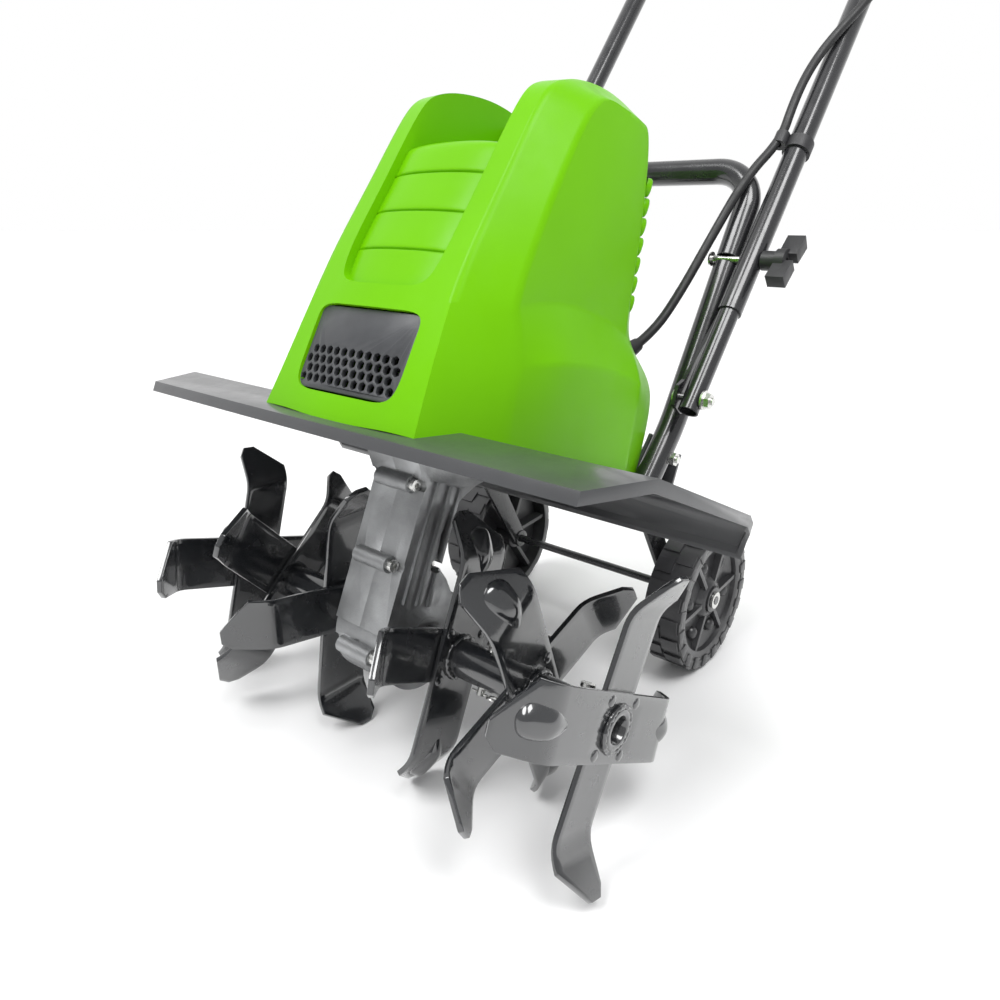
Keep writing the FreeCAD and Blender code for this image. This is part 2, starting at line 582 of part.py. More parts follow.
def make_brackets(side, sign):
    """The plates that hold one leg of the frame and one wheel arm to the rear of the deck."""
    def span(a, b):
        return min(sign * a, sign * b), max(sign * a, sign * b)
    top = DECK_TOP_Z + PLATFORM_RISE
    inner = FRAME_LEG_X - FRAME_TUBE_RADIUS
    base = box(*span(inner - 14, inner + 22), 122, 165, top, top + 2.5)
    cheek = side_prism([(126, top), (162, top), (160, top + 34), (138, top + 40)],
                       sign * (inner - 2.8), sign * inner)
    web = box(*span(inner - 2.8, inner + 20), 159, 162, top, top + 30)
    holes = [rod(3, (-200, *BRACKET_BOLT), (200, *BRACKET_BOLT)),
             rod(3, (sign * DECK_BOLT[0], DECK_BOLT[1], 100), (sign * DECK_BOLT[0], DECK_BOLT[1], 200))]
    parts["frame_bracket_" + side] = joined([base, cheek, web]).cut(group(holes))
    y, z = WHEEL_Y, WHEEL_Z
    inside, outside = WHEEL_ARM_X - 2, WHEEL_ARM_X + 2
    under = top - 6
    arm = side_prism([(120, under), (163, under), (y + 10, z + 3), (y + 4, z - 10), (y - 9, z - 5)],
                     sign * inside, sign * outside)
    tab = box(*span(inside - 22, outside), 122, 160, under, under + 3)
    boss = rod(9, (sign * (inside - 2), y, z), (sign * (outside + 2), y, z))
    axle = rod(AXLE_RADIUS, (-200, y, z), (200, y, z))
    parts["wheel_bracket_" + side] = joined([arm, tab, boss]).cut(axle).cut(holes[1])
    slot = box(*span(inside - 0.5, outside + 0.5), 158, 170, 140, under + 0.5)
    parts["deck"] = parts["deck"].cut(holes[1]).cut(slot)


def make_frame():
    make_lower_frame()
    for side, sign in (("right", 1), ("left", -1)):
        make_brackets(side, sign)
    top = DECK_TOP_Z + PLATFORM_RISE
    bolts = []
    for sign in (-1, 1):
        x, y = sign * DECK_BOLT[0], DECK_BOLT[1]
        upright = joined([rod(3, (x, y, top - 10), (x, y, top + 8)),
                          rod(5.5, (x, y, top - 10), (x, y, top - 6)),
                          hex_nut((x, y, top + 2.5), (0, 0, 1), 10, 4, 3)])
        inner = FRAME_LEG_X - FRAME_TUBE_RADIUS - 2.8
        outer = FRAME_LEG_X + FRAME_TUBE_RADIUS
        cross = joined([rod(3, (sign * (inner - 3.5), *BRACKET_BOLT), (sign * (outer + 6), *BRACKET_BOLT)),
                        rod(5.5, (sign * (inner - 3.5), *BRACKET_BOLT), (sign * inner, *BRACKET_BOLT)),
                        hex_nut((sign * outer, *BRACKET_BOLT), (sign, 0, 0), 10, 4, 3)])
        bolts += [upright, cross]
    parts["frame_bolts"] = group(bolts)
    end = WHEEL_INNER_X + WHEEL_WIDTH
    parts["axle"] = rod(AXLE_RADIUS, (-end - 3, WHEEL_Y, WHEEL_Z), (end + 3, WHEEL_Y, WHEEL_Z))
    caps = [tube(8, AXLE_RADIUS, (sign * (end + 0.5), WHEEL_Y, WHEEL_Z),
                 (sign * (end + 2.5), WHEEL_Y, WHEEL_Z)) for sign in (-1, 1)]
    parts["axle_caps"] = group(caps)


def make_wheel(side, sign):
    y, z, r = WHEEL_Y, WHEEL_Z, WHEEL_RADIUS
    x0, x1 = sign * WHEEL_INNER_X, sign * (WHEEL_INNER_X + WHEEL_WIDTH)
    tread = tube(r - 2, r - 9, (x0, y, z), (x1, y, z))
    web_at = sign * (WHEEL_INNER_X + 16)
    web = tube(r - 8, 10, (web_at, y, z), (web_at + sign * 4, y, z))
    hub = tube(12, AXLE_RADIUS + 0.06, (sign * (WHEEL_ARM_X + 4.5), y, z), (x1, y, z))
    pieces = [tread, web, hub]
    for k in range(6):
        rib = box(min(x0 + sign * 3, x1 - sign * 3), max(x0 + sign * 3, x1 - sign * 3), y - 2, y + 2,
                  z + 11, z + r - 8)
        rib.rotate(V(0, y, z), V(1, 0, 0), 60 * k)
        pieces.append(rib)
    for k in range(20):
        for part, shift in ((0, 0), (1, 9)):
            start = x0 + sign * (1 + 17.5 * part)
            block = box(min(start, start + sign * 16), max(start, start + sign * 16), y - 6.5, y + 6.5,
                        z + r - 3, z + r)
            block.rotate(V(0, y, z), V(1, 0, 0), 18 * k + shift)
            pieces.append(block)
    wheel = joined(pieces)
    rim = rod(r, (x0 - sign * 10, y, z), (x1 + sign, y, z))
    parts["wheel_" + side] = wheel.common(rim)


# ---- handle ----
def bolt_holes():
    """Running holes for the pivot bolts and tight holes for the locking bolts."""
    pivot = rod(3.06, (-200, PIVOT_Y, PIVOT_Z), (200, PIVOT_Y, PIVOT_Z))
    return pivot.fuse(rod(3, (-200, *knob_spot()), (200, *knob_spot())))


def upper_handle_route():
    turn, level = math.radians(HANDLE_ANGLE), math.radians(GRIP_ANGLE)
    collar = handle_point(along_at(COLLAR_Z))
    bend = handle_point(HANDLE_STRAIGHT)
    end = (HANDLE_TUBE_X, bend[1] + HANDLE_GRIP_RUN * math.cos(level),
           bend[2] + HANDLE_GRIP_RUN * math.sin(level))
    right = [collar, bend, end]
    return right + [(-x, y, z) for x, y, z in reversed(right)]


def make_handle():
    holes = bolt_holes()
    collar = along_at(COLLAR_Z)
    for side, sign in (("right", 1), ("left", -1)):
        x = sign * HANDLE_TUBE_X
        outer = rod(INNER_TUBE_RADIUS, handle_point(-12, 0, x), handle_point(collar + 90, 0, x))
        inner = rod(INNER_TUBE_RADIUS - TUBE_WALL, handle_point(-13, 0, x), handle_point(collar + 91, 0, x))
        parts["lower_handle_tube_" + side] = outer.cut(inner).cut(holes)
    route = upper_handle_route()
    parts["upper_handle"] = bent_tube(route, [60, 45, 45, 60], HANDLE_TUBE_RADIUS,
                                      HANDLE_TUBE_RADIUS - TUBE_WALL).cut(holes)
    end = route[2]
    parts["foam_grip"] = tube(16, HANDLE_TUBE_RADIUS, (-78, end[1], end[2]), (78, end[1], end[2]))

    pivots, knob_bolts = [], []
    inner_face = FRAME_LEG_X - FRAME_TUBE_RADIUS
    for sign in (1, -1):
        face = HANDLE_TUBE_X + INNER_TUBE_RADIUS
        strip = FRAME_LEG_X + FRAME_TUBE_RADIUS
        pivots.append(joined([
            rod(3, (sign * (strip - 4), PIVOT_Y, PIVOT_Z), (sign * (face + 9), PIVOT_Y, PIVOT_Z)),
            rod(6, (sign * (strip - 4), PIVOT_Y, PIVOT_Z), (sign * (strip - 1), PIVOT_Y, PIVOT_Z)),
            tube(8, 3, (sign * (face + 0.4), PIVOT_Y, PIVOT_Z), (sign * (face + 2), PIVOT_Y, PIVOT_Z)),
            hex_nut((sign * (face + 2), PIVOT_Y, PIVOT_Z), (sign, 0, 0), 11, 5, 3)]))
        outer_face = HANDLE_TUBE_X + HANDLE_TUBE_RADIUS
        stem = rod(3, (sign * (inner_face - 1.8), *knob_spot()), (sign * (outer_face + 16), *knob_spot()))
        cap = rod(6, (sign * (inner_face - 1.8), *knob_spot()), (sign * (inner_face - 0.4), *knob_spot()))
        knob_bolts.append(stem.fuse(cap))
    parts["pivot_bolts"] = group(pivots)
    parts["knob_bolts"] = group(knob_bolts)


def make_knob(side, sign):
    face = HANDLE_TUBE_X + HANDLE_TUBE_RADIUS + 0.4
    ky, kz = knob_spot()
    at = lambda x, y, z: (sign * (face + x), ky + y, kz + z)
    stem = rod(8, at(0, 0, 0), at(12, 0, 0))
    hub = rod(10, at(12, 0, 0), at(20, 0, 0))
    wings = []
    for way in (1, -1):
        wing = side_prism([(ky + way * 4, kz - 5), (ky + way * 24, kz - 6), (ky + way * 25, kz + 6),
                           (ky + way * 4, kz + 5)], sign * (face + 12), sign * (face + 27))
        wings.append(wing)
    knob = joined([stem, hub] + wings).cut(rod(3.06, at(-1, 0, 0), at(40, 0, 0)))
    knob.rotate(V(0, ky, kz), V(1, 0, 0), 62)
    parts["wing_knob_" + side] = knob


# ---- controls ----
def in_grip_plane(shape):
    """Place a shape drawn with +Y along the grip run and +Z off it onto the handle."""
    _, y, z = handle_point(HANDLE_STRAIGHT)
    shape.rotate(V(0, 0, 0), V(1, 0, 0), GRIP_ANGLE)
    shape.translate(V(0, y, z))
    return shape


def make_switch_box():
    x0, x1 = HANDLE_TUBE_X - 18, HANDLE_TUBE_X + 18
    y0, y1 = BOX_START, BOX_START + 90
    wall = 2.5
    outer = box(x0, x1, y0, y1, -16, 30)
    inner = box(x0 + wall, x1 - wall, y0 + wall, y1 - wall, -16 + wall, 30 - wall)
    sleeve = tube(HANDLE_TUBE_RADIUS + wall, HANDLE_TUBE_RADIUS,
                  (HANDLE_TUBE_X, y0, 0), (HANDLE_TUBE_X, y1, 0))
    bore = rod(HANDLE_TUBE_RADIUS, (HANDLE_TUBE_X, y0 - 20, 0), (HANDLE_TUBE_X, y1 + 20, 0))
    shell = outer.cut(inner.cut(sleeve)).cut(bore)
    shell = shell.cut(rod(7.5, (BUTTON[0], BUTTON[1], 20), (BUTTON[0], BUTTON[1], 40)))
    shell = shell.cut(box(x0 + 6, x1 - 6, y1 - 5, y1 + 5, 14, 26))
    shell = shell.cut(rod(2.5, (x0 - 2, *LEVER_HINGE), (x0 + 12, *LEVER_HINGE)))
    parts["switch_box_cover"] = in_grip_plane(shell.common(box(0, 300, -50, 250, 0, 60)))
    parts["switch_box_base"] = in_grip_plane(shell.common(box(0, 300, -50, 250, -60, 0)))
    spots = [(x0 + 4.5, y0 + 5), (x1 - 4.5, y0 + 5), (x0 + 4.5, y1 - 5), (x1 - 4.5, y1 - 5)]
    screws = [socket_screw((x, y, -16), (0, 0, 1), wall, 1.4) for x, y in spots]
    for x, y in spots:
        hole = in_grip_plane(rod(1.4, (x, y, -20), (x, y, -10)))
        parts["switch_box_base"] = parts["switch_box_base"].cut(hole)
    parts["switch_box_screws"] = in_grip_plane(group(screws))
    parts["power_switch"] = in_grip_plane(box(x0 + 3.5, x0 + 17, y0 + 38, y0 + 60, 13, 24))
    shroud = box(x0 + 6, x1 - 6, y1 - 14, y1 + 9, 14, 26).cut(box(x0 + 8, x1 - 8, y1 - 12, y1 + 10, 16, 24))
    blades = [rod(1.6, (HANDLE_TUBE_X + dx, y1 - 13, 20), (HANDLE_TUBE_X + dx, y1 + 5, 20)) for dx in (-5, 5)]
    parts["power_inlet"] = in_grip_plane(joined([shroud] + blades))
    button = rod(7.2, (BUTTON[0], BUTTON[1], 24.0), (BUTTON[0], BUTTON[1], 35))
    flange = rod(9, (BUTTON[0], BUTTON[1], 24.0), (BUTTON[0], BUTTON[1], 27.2))
    parts["lock_off_button"] = in_grip_plane(button.fuse(flange))


def make_bail():
    x = HANDLE_TUBE_X - 23.5
    y, z = LEVER_HINGE
    route = [(x, y, z), (x, y + 30, z + 25), (x - 34, y + 62, z + 31),
             (34 - x, y + 62, z + 31), (-x, y + 30, z + 25), (-x, y, z)]
    lever = swept(route, [16, 16, 16, 16], BAIL_RADIUS)
    pins, hinge_holes = [], []
    for sign in (1, -1):
        lever = lever.fuse(rod(6.5, (sign * (x - 3.5), y, z), (sign * (x + 3.5), y, z)))
        pins.append(rod(2.5, (sign * (x - 5), y, z), (sign * (x + 14), y, z)))
        hinge_holes.append(rod(2.56, (sign * (x - 9), y, z), (sign * (x + 9), y, z)))
    parts["bail_lever"] = in_grip_plane(lever.removeSplitter().cut(group(hinge_holes)))
    parts["bail_pins"] = in_grip_plane(group(pins))
    left = -HANDLE_TUBE_X
    ear = box(left + 4, left + 18, y - 8, y + 8, 6, 26).cut(rod(2.5, (left, y, z), (left + 30, y, z)))
    band = rod(HANDLE_TUBE_RADIUS + 3, (left, y - 10, 0), (left, y + 10, 0))
    tube_hole = rod(HANDLE_TUBE_RADIUS, (left, y - 20, 0), (left, y + 20, 0))
    parts["bail_bracket"] = in_grip_plane(band.fuse(ear).removeSplitter().cut(tube_hole))


# ---- cable ----
def along_tube(z, sideways, front):
    """A point beside the right-hand handle tube at height z."""
    return handle_point(along_at(z), front, HANDLE_TUBE_X + sideways)


def past_bend(run, sideways, front):
    """A point beside the right-hand tube past its bend, run millimetres along the grip run."""
    level = math.radians(GRIP_ANGLE)
    _, y, z = handle_point(HANDLE_STRAIGHT)
    return (HANDLE_TUBE_X + sideways, y + run * math.cos(level) - front * math.sin(level),
            z + run * math.sin(level) + front * math.cos(level))


CABLE_EXIT = (74, 100, 264)
CABLE_ROUTE = [
    CABLE_EXIT,
    (78, 122, 286),
    (84, 138, 328),
    (92, 149, 380),
    (104, 158, 438),
    along_tube(478, -12.5, 11),
    along_tube(508, -12.5, 15.5),
    along_tube(536, -12, 16),
    along_tube(562, -9, 14.5),
    along_tube(586, 0, 15.5),
    along_tube(612, 10, 13.5),
    along_tube(646, 15.5, 6),
    along_tube(694, 15.2, 0),
    along_tube(752, 14.7, 2),
    along_tube(812, 15.2, 0),
    along_tube(872, 14.8, 2),
    along_tube(928, 15.2, 1),
    along_tube(972, 15, -3),
    handle_point(798, -8, HANDLE_TUBE_X + 14),
    past_bend(29, 11, -9.3),
]


def cord_radii(points):
    """0.45 of the shorter run, divided by the tangent of half the turn."""
    radii = []
    for before, corner, after in zip(points[:-2], points[1:-1], points[2:]):
        a, b, c = V(*before), V(*corner), V(*after)
        turn = (b - a).getAngle(c - b)
        radii.append(0.45 * min((b - a).Length, (c - b).Length) / math.tan(turn / 2))
    return radii


def make_cable():
    radii = cord_radii(CABLE_ROUTE)
    print("power cable arc radii (mm):", [round(r, 1) for r in radii])
    cable = swept(CABLE_ROUTE, radii, CABLE_RADIUS)
    length = path_wire(CABLE_ROUTE, radii).Length
    print("power cable length %.1f mm, volume %.1f against %.1f mm3" % (
        length, cable.Volume, math.pi * CABLE_RADIUS ** 2 * length))
    parts["power_cable"] = cable
    heading = unit(V(*CABLE_ROUTE[1]) - V(*CABLE_ROUTE[0]))
    start = V(*CABLE_EXIT)
    gland = Part.makeCone(8, 5.6, 20, start - heading * 10, heading)
    parts["cable_gland"] = gland.cut(Part.makeCylinder(CABLE_RADIUS, 40, start - heading * 1, heading))
    parts["hood"] = parts["hood"].cut(gland)
    slack = swept(CABLE_ROUTE, radii, CABLE_RADIUS + CLEAR + 0.1)
    clips = []
    for z, sideways, front in ((478, -12.5, 11), (812, 15.2, 0.4)):
        centre = V(*along_tube(z, 0, 0))
        other = V(*along_tube(z, sideways, front))
        way = unit(V(*along_tube(z + 50, 0, 0)) - centre)
        tube_ring = Part.makeCylinder(HANDLE_TUBE_RADIUS + 2, 12, centre - way * 6, way)
        cord_ring = Part.makeCylinder(CABLE_RADIUS + 2, 12, other - way * 6, way)
        clip = tube_ring.fuse(cord_ring)
        clip = clip.cut(Part.makeCylinder(HANDLE_TUBE_RADIUS, 40, centre - way * 20, way))
        clips.append(clip.cut(slack))
    parts["cable_clips"] = group(clips)
    parts["switch_box_base"] = parts["switch_box_base"].cut(slack)


# ---- assembly ----
make_gearbox()
make_worm_drive()
make_motor()
make_tines()
make_deck()
make_hood()
make_frame()
for side, sign in (("right", 1), ("left", -1)):
    make_wheel(side, sign)
make_handle()
for side, sign in (("right", 1), ("left", -1)):
    make_knob(side, sign)
make_switch_box()
make_bail()
make_cable()

for shape in parts.values():
    shape.rotate(V(0, 0, 0), V(1, 0, 0), -LEAN)
whole = Part.makeCompound([s for n, s in parts.items() if n != "power_cable"]).optimalBoundingBox(False)
shift = V(-(whole.XMin + whole.XMax) / 2, -(whole.YMin + whole.YMax) / 2, -whole.ZMin)
print("shift from the tine shaft to the row origin (mm): %.4f %.4f %.4f" % tuple(shift))
os.makedirs("parts", exist_ok=True)
for name, shape in parts.items():
    shape.translate(shift)
    shape.exportStep("parts/%s.step" % name)
    print(name, "solids", len(shape.Solids), "volume", round(shape.Volume), "valid", shape.isValid())
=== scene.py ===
"""Looks for the electric tiller: camera, light, materials and the detailed pieces on the CAD frame.

Pieces are drawn in the machine frame (millimetres): origin at the centre of the tine shaft, -Y
forwards, +Z up along the gearbox. MACHINE leans them back and moves them into the row frame.
"""
import json
import math

import bmesh
import bpy
from mathutils import Matrix, Vector


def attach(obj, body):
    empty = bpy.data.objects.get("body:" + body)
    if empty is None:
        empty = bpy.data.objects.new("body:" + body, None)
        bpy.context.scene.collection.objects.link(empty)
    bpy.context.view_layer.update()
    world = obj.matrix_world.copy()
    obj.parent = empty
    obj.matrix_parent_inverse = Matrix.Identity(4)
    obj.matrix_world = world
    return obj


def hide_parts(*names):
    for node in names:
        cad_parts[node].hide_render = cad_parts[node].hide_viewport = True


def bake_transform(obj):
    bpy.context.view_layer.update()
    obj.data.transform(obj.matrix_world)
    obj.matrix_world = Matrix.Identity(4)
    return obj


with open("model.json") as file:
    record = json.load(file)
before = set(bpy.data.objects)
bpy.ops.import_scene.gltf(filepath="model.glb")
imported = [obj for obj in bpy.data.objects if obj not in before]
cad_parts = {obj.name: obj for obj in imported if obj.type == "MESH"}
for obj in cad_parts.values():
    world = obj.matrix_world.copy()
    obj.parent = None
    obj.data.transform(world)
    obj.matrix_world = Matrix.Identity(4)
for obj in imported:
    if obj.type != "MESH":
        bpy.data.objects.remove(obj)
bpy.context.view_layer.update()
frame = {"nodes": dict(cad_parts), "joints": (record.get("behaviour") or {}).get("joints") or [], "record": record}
JOINTS = {j["name"]: j for j in frame["joints"]}
SHAFT = Vector(JOINTS["tine_spin"]["pos_m"])
MOTOR_AXIS = Vector(JOINTS["motor_spin"]["axis"])
LEAN = math.atan2(MOTOR_AXIS.y, MOTOR_AXIS.z)
MACHINE = Matrix.Translation(SHAFT) @ Matrix.Rotation(-LEAN, 4, "X") @ Matrix.Scale(0.001, 4)


def to_machine(point):
    """A row-frame point in machine millimetres."""
    return MACHINE.inverted() @ Vector(point)


# ---- materials ----
class Nodes:
    """A small helper round one material's node tree."""

    def __init__(self, name, color, roughness, metallic=0.0, coat=0.0, coat_roughness=0.05, specular=0.5):
        self.material = bpy.data.materials.new(name)
        self.material.use_nodes = True
        self.tree = self.material.node_tree
        self.shader = self.tree.nodes["Principled BSDF"]
        self.shader.inputs["Base Color"].default_value = (*color, 1)
        self.shader.inputs["Roughness"].default_value = roughness
        self.shader.inputs["Metallic"].default_value = metallic
        self.shader.inputs["Coat Weight"].default_value = coat
        self.shader.inputs["Coat Roughness"].default_value = coat_roughness
        self.shader.inputs["Specular IOR Level"].default_value = specular
        self.color = color
        self.coordinates = self.tree.nodes.new("ShaderNodeTexCoord").outputs["Object"]

    def noise(self, scale, detail=4.0, roughness=0.55, stretch=None):
        node = self.tree.nodes.new("ShaderNodeTexNoise")
        node.inputs["Scale"].default_value = scale
        node.inputs["Detail"].default_value = detail
        node.inputs["Roughness"].default_value = roughness
        source = self.coordinates
        if stretch:
            mapping = self.tree.nodes.new("ShaderNodeMapping")
            mapping.inputs["Scale"].default_value = stretch
            self.tree.links.new(source, mapping.inputs["Vector"])
            source = mapping.outputs["Vector"]
        self.tree.links.new(source, node.inputs["Vector"])
        return node.outputs["Fac"]

    def voronoi(self, scale, feature="F1"):
        node = self.tree.nodes.new("ShaderNodeTexVoronoi")
        node.feature = feature
        node.inputs["Scale"].default_value = scale
        self.tree.links.new(self.coordinates, node.inputs["Vector"])
        return node.outputs["Distance"]

    def ramp(self, factor, stops):
        node = self.tree.nodes.new("ShaderNodeValToRGB")
        while len(node.color_ramp.elements) < len(stops):
            node.color_ramp.elements.new(0.5)
        for element, (place, color) in zip(node.color_ramp.elements, stops):
            element.position = place
            element.color = (*color, 1)
        self.tree.links.new(factor, node.inputs["Fac"])
        return node.outputs["Color"]

    def vary_color(self, factor, darker=0.85, lighter=1.1, low=0.3, high=0.7):
        dark = tuple(c * darker for c in self.color)
        light = tuple(min(1.0, c * lighter) for c in self.color)
        color = self.ramp(factor, [(low, dark), (high, light)])
        self.tree.links.new(color, self.shader.inputs["Base Color"])

    def vary_roughness(self, factor, low, high):
        node = self.tree.nodes.new("ShaderNodeMapRange")
        node.inputs["From Min"].default_value = 0.3
        node.inputs["From Max"].default_value = 0.7
        node.inputs["To Min"].default_value = low
        node.inputs["To Max"].default_value = high
        self.tree.links.new(factor, node.inputs["Value"])
        self.tree.links.new(node.outputs["Result"], self.shader.inputs["Roughness"])

    def bump(self, height, strength, distance=0.001):
        node = self.tree.nodes.new("ShaderNodeBump")
        node.inputs["Strength"].default_value = strength
        node.inputs["Distance"].default_value = distance
        self.tree.links.new(height, node.inputs["Height"])
        self.tree.links.new(node.outputs["Normal"], self.shader.inputs["Normal"])


def hood_green():
    m = Nodes("hood_green", (0.14, 0.452, 0.0), 0.36, specular=0.14)
    m.vary_color(m.noise(9, 3), 0.95, 1.04)
    m.vary_roughness(m.noise(55, 5), 0.28, 0.4)
    m.bump(m.noise(900, 2), 0.05, 0.0004)
    return m.material


def deck_grey():
    m = Nodes("deck_grey", (0.048, 0.049, 0.052), 0.3, coat=0.6, coat_roughness=0.16)
    m.vary_color(m.noise(14, 4), 0.85, 1.15)
    m.vary_roughness(m.noise(40, 6), 0.3, 0.44)
    m.bump(m.noise(1400, 3), 0.12, 0.0004)
    return m.material


def black_enamel():
    m = Nodes("black_enamel", (0.018, 0.018, 0.02), 0.22, coat=0.6, coat_roughness=0.08)
    m.vary_roughness(m.noise(60, 4), 0.18, 0.3)
    m.bump(m.noise(320, 2), 0.06, 0.0004)
    return m.material


def tine_enamel():
    m = Nodes("tine_steel", (0.011, 0.012, 0.014), 0.2, coat=1.0, coat_roughness=0.09)
    m.shader.inputs["Coat IOR"].default_value = 1.75
    m.vary_color(m.noise(26, 5), 0.75, 1.35)
    m.vary_roughness(m.noise(80, 5), 0.16, 0.3)
    m.bump(m.noise(200, 3), 0.06, 0.0004)
    return m.material


def cast_aluminium():
    m = Nodes("cast_aluminium", (0.33, 0.335, 0.34), 0.42, metallic=0.85)
    m.vary_color(m.noise(24, 5), 0.7, 1.2)
    m.vary_roughness(m.noise(120, 5), 0.34, 0.55)
    m.bump(m.noise(700, 5), 0.35, 0.0006)
    return m.material


def zinc():
    m = Nodes("zinc", (0.66, 0.66, 0.64), 0.25, metallic=1.0)
    m.vary_roughness(m.noise(300, 3), 0.2, 0.34)
    m.bump(m.noise(900, 3), 0.08, 0.0003)
    return m.material


def plain_steel():
    m = Nodes("steel", (0.45, 0.45, 0.46), 0.3, metallic=1.0)
    m.vary_roughness(m.noise(240, 3, stretch=(1, 12, 12)), 0.24, 0.4)
    return m.material


def bronze():
    m = Nodes("bronze", (0.55, 0.36, 0.16), 0.32, metallic=1.0)
    m.vary_roughness(m.noise(180, 3), 0.26, 0.42)
    return m.material


def lamination():
    m = Nodes("lamination", (0.14, 0.14, 0.15), 0.5, metallic=0.8)
    m.bump(m.noise(60, 1, stretch=(0.1, 0.1, 30)), 0.3, 0.0005)
    return m.material


def copper_winding():
    m = Nodes("copper_winding", (0.42, 0.14, 0.05), 0.35, metallic=0.7, coat=0.4)
    m.bump(m.noise(80, 2, stretch=(30, 30, 1)), 0.4, 0.0006)
    return m.material


def moulded_black(name="black_plastic", color=(0.022, 0.022, 0.024), roughness=0.42, grain=0.22):
    m = Nodes(name, color, roughness)
    m.vary_color(m.noise(30, 4), 0.8, 1.25)
    m.vary_roughness(m.noise(90, 4), roughness * 0.85, roughness * 1.2)
    m.bump(m.voronoi(1600), grain, 0.0003)
    return m.material


def wheel_plastic():
    m = Nodes("wheel_plastic", (0.028, 0.028, 0.03), 0.34, coat=0.25, coat_roughness=0.2)
    m.vary_color(m.noise(30, 4), 0.75, 1.3)
    m.bump(m.noise(600, 3), 0.15, 0.0004)
    return m.material


def foam():
    m = Nodes("foam", (0.02, 0.02, 0.021), 0.9, specular=0.25)
    m.bump(m.voronoi(1100), 0.6, 0.0008)
    return m.material


def cord_rubber():
    m = Nodes("cord_rubber", (0.014, 0.014, 0.015), 0.46)
    m.vary_roughness(m.noise(120, 3), 0.4, 0.55)
    m.bump(m.noise(700, 2), 0.12, 0.0003)
    return m.material


SLOTS = {
    "hood_green": hood_green(),
    "deck_grey": deck_grey(),
    "black_enamel": black_enamel(),
    "tine_steel": tine_enamel(),
    "cast_aluminium": cast_aluminium(),
    "zinc": zinc(),
    "steel": plain_steel(),
    "bronze": bronze(),
    "lamination": lamination(),
    "copper_winding": copper_winding(),
    "black_plastic": moulded_black(),
    "grille_grey": moulded_black("grille_grey", (0.05, 0.052, 0.056), 0.36, 0.1),
    "wheel_plastic": wheel_plastic(),
    "foam": foam(),
    "cord_rubber": cord_rubber(),
    "button_green": moulded_black("button_green", (0.2, 0.66, 0.01), 0.35, 0.05),
}
NODE_SLOT = {s["node"]: s["material_slot"] for s in frame["record"]["subparts"]}
for node, obj in frame["nodes"].items():
    for holder in obj.material_slots:
        holder.material = SLOTS[NODE_SLOT[node]]


# ---- helpers for pieces ----
def finish_piece(obj, body, slot, *nodes, smooth=True):
    """Give a piece its material, shading and body, and say which CAD nodes it stands for."""
    obj.data.materials.clear()
    obj.data.materials.append(SLOTS[slot])
    if smooth and obj.type == "MESH":
        for polygon in obj.data.polygons:
            polygon.use_smooth = True
    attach(obj, body)
    if nodes:
        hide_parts(*nodes)
    return obj


def mesh_piece(name, points, faces):
    """A mesh object from machine-frame points."""
    mesh = bpy.data.meshes.new(name)
    mesh.from_pydata([MACHINE @ Vector(p) for p in points], [], faces)
    mesh.update()
    obj = bpy.data.objects.new(name, mesh)
    bpy.context.scene.collection.objects.link(obj)
    return obj


def apply_modifiers(obj):
    bpy.context.view_layer.update()
    evaluated = obj.evaluated_get(bpy.context.evaluated_depsgraph_get())
    mesh = bpy.data.meshes.new_from_object(evaluated)
    old = obj.data
    obj.modifiers.clear()
    obj.data = mesh
    bpy.data.meshes.remove(old)
    return obj


def subdivide(obj, levels):
    modifier = obj.modifiers.new("subdivision", "SUBSURF")
    modifier.levels = modifier.render_levels = levels
    modifier.use_limit_surface = False


def bevel(obj, width, segments, angle=30):
    modifier = obj.modifiers.new("bevel", "BEVEL")
    modifier.width = width / 1000
    modifier.segments = segments
    modifier.limit_method = "ANGLE"
    modifier.angle_limit = math.radians(angle)
    modifier.harden_normals = False
    modifier.miter_outer = "MITER_ARC"


def shade_by_angle(obj, angle):
    """Smooth shading that keeps edges sharper than an angle."""
    for polygon in obj.data.polygons:
        polygon.use_smooth = True
    obj.data.set_sharp_from_angle(angle=math.radians(angle))


def crease(obj, marks):
    """Crease the control mesh's edges, given as (vertex, vertex, crease)."""
    wanted = {tuple(sorted(m[:2])): m[2] for m in marks}
    layer = obj.data.attributes.new("crease_edge", "FLOAT", "EDGE")
    for edge in obj.data.edges:
        layer.data[edge.index].value = wanted.get(tuple(sorted(edge.vertices)), 0.0)


# ---- camera, light and floor ----
CAMERA_FROM_SHAFT = (0.4106, -0.3632, 0.3038)       # metres
CAMERA_DOWN, CAMERA_TURN = 20.0, 40.2               # degrees
CAMERA_LENS = 28.27                                 # on a sensor 36 mm wide
FLOOR_HALF = 60


def make_camera():
    camera = bpy.data.objects.new("camera", bpy.data.cameras.new("camera"))
    bpy.context.scene.collection.objects.link(camera)
    camera.data.lens = CAMERA_LENS
    camera.data.sensor_width = 36
    camera.data.clip_end = 20
    camera.location = SHAFT + Vector(CAMERA_FROM_SHAFT)
    camera.rotation_euler = (math.radians(90 - CAMERA_DOWN), 0, math.radians(CAMERA_TURN))
    bpy.context.scene.camera = camera


def area_light(name, location, target, size, energy):
    light = bpy.data.lights.new(name, "AREA")
    light.shape = "RECTANGLE"
    light.size, light.size_y = size
    light.energy = energy
    obj = bpy.data.objects.new(name, light)
    bpy.context.scene.collection.objects.link(obj)
    obj.location = location
    obj.rotation_euler = (Vector(target) - Vector(location)).to_track_quat("-Z", "Y").to_euler()
    return obj


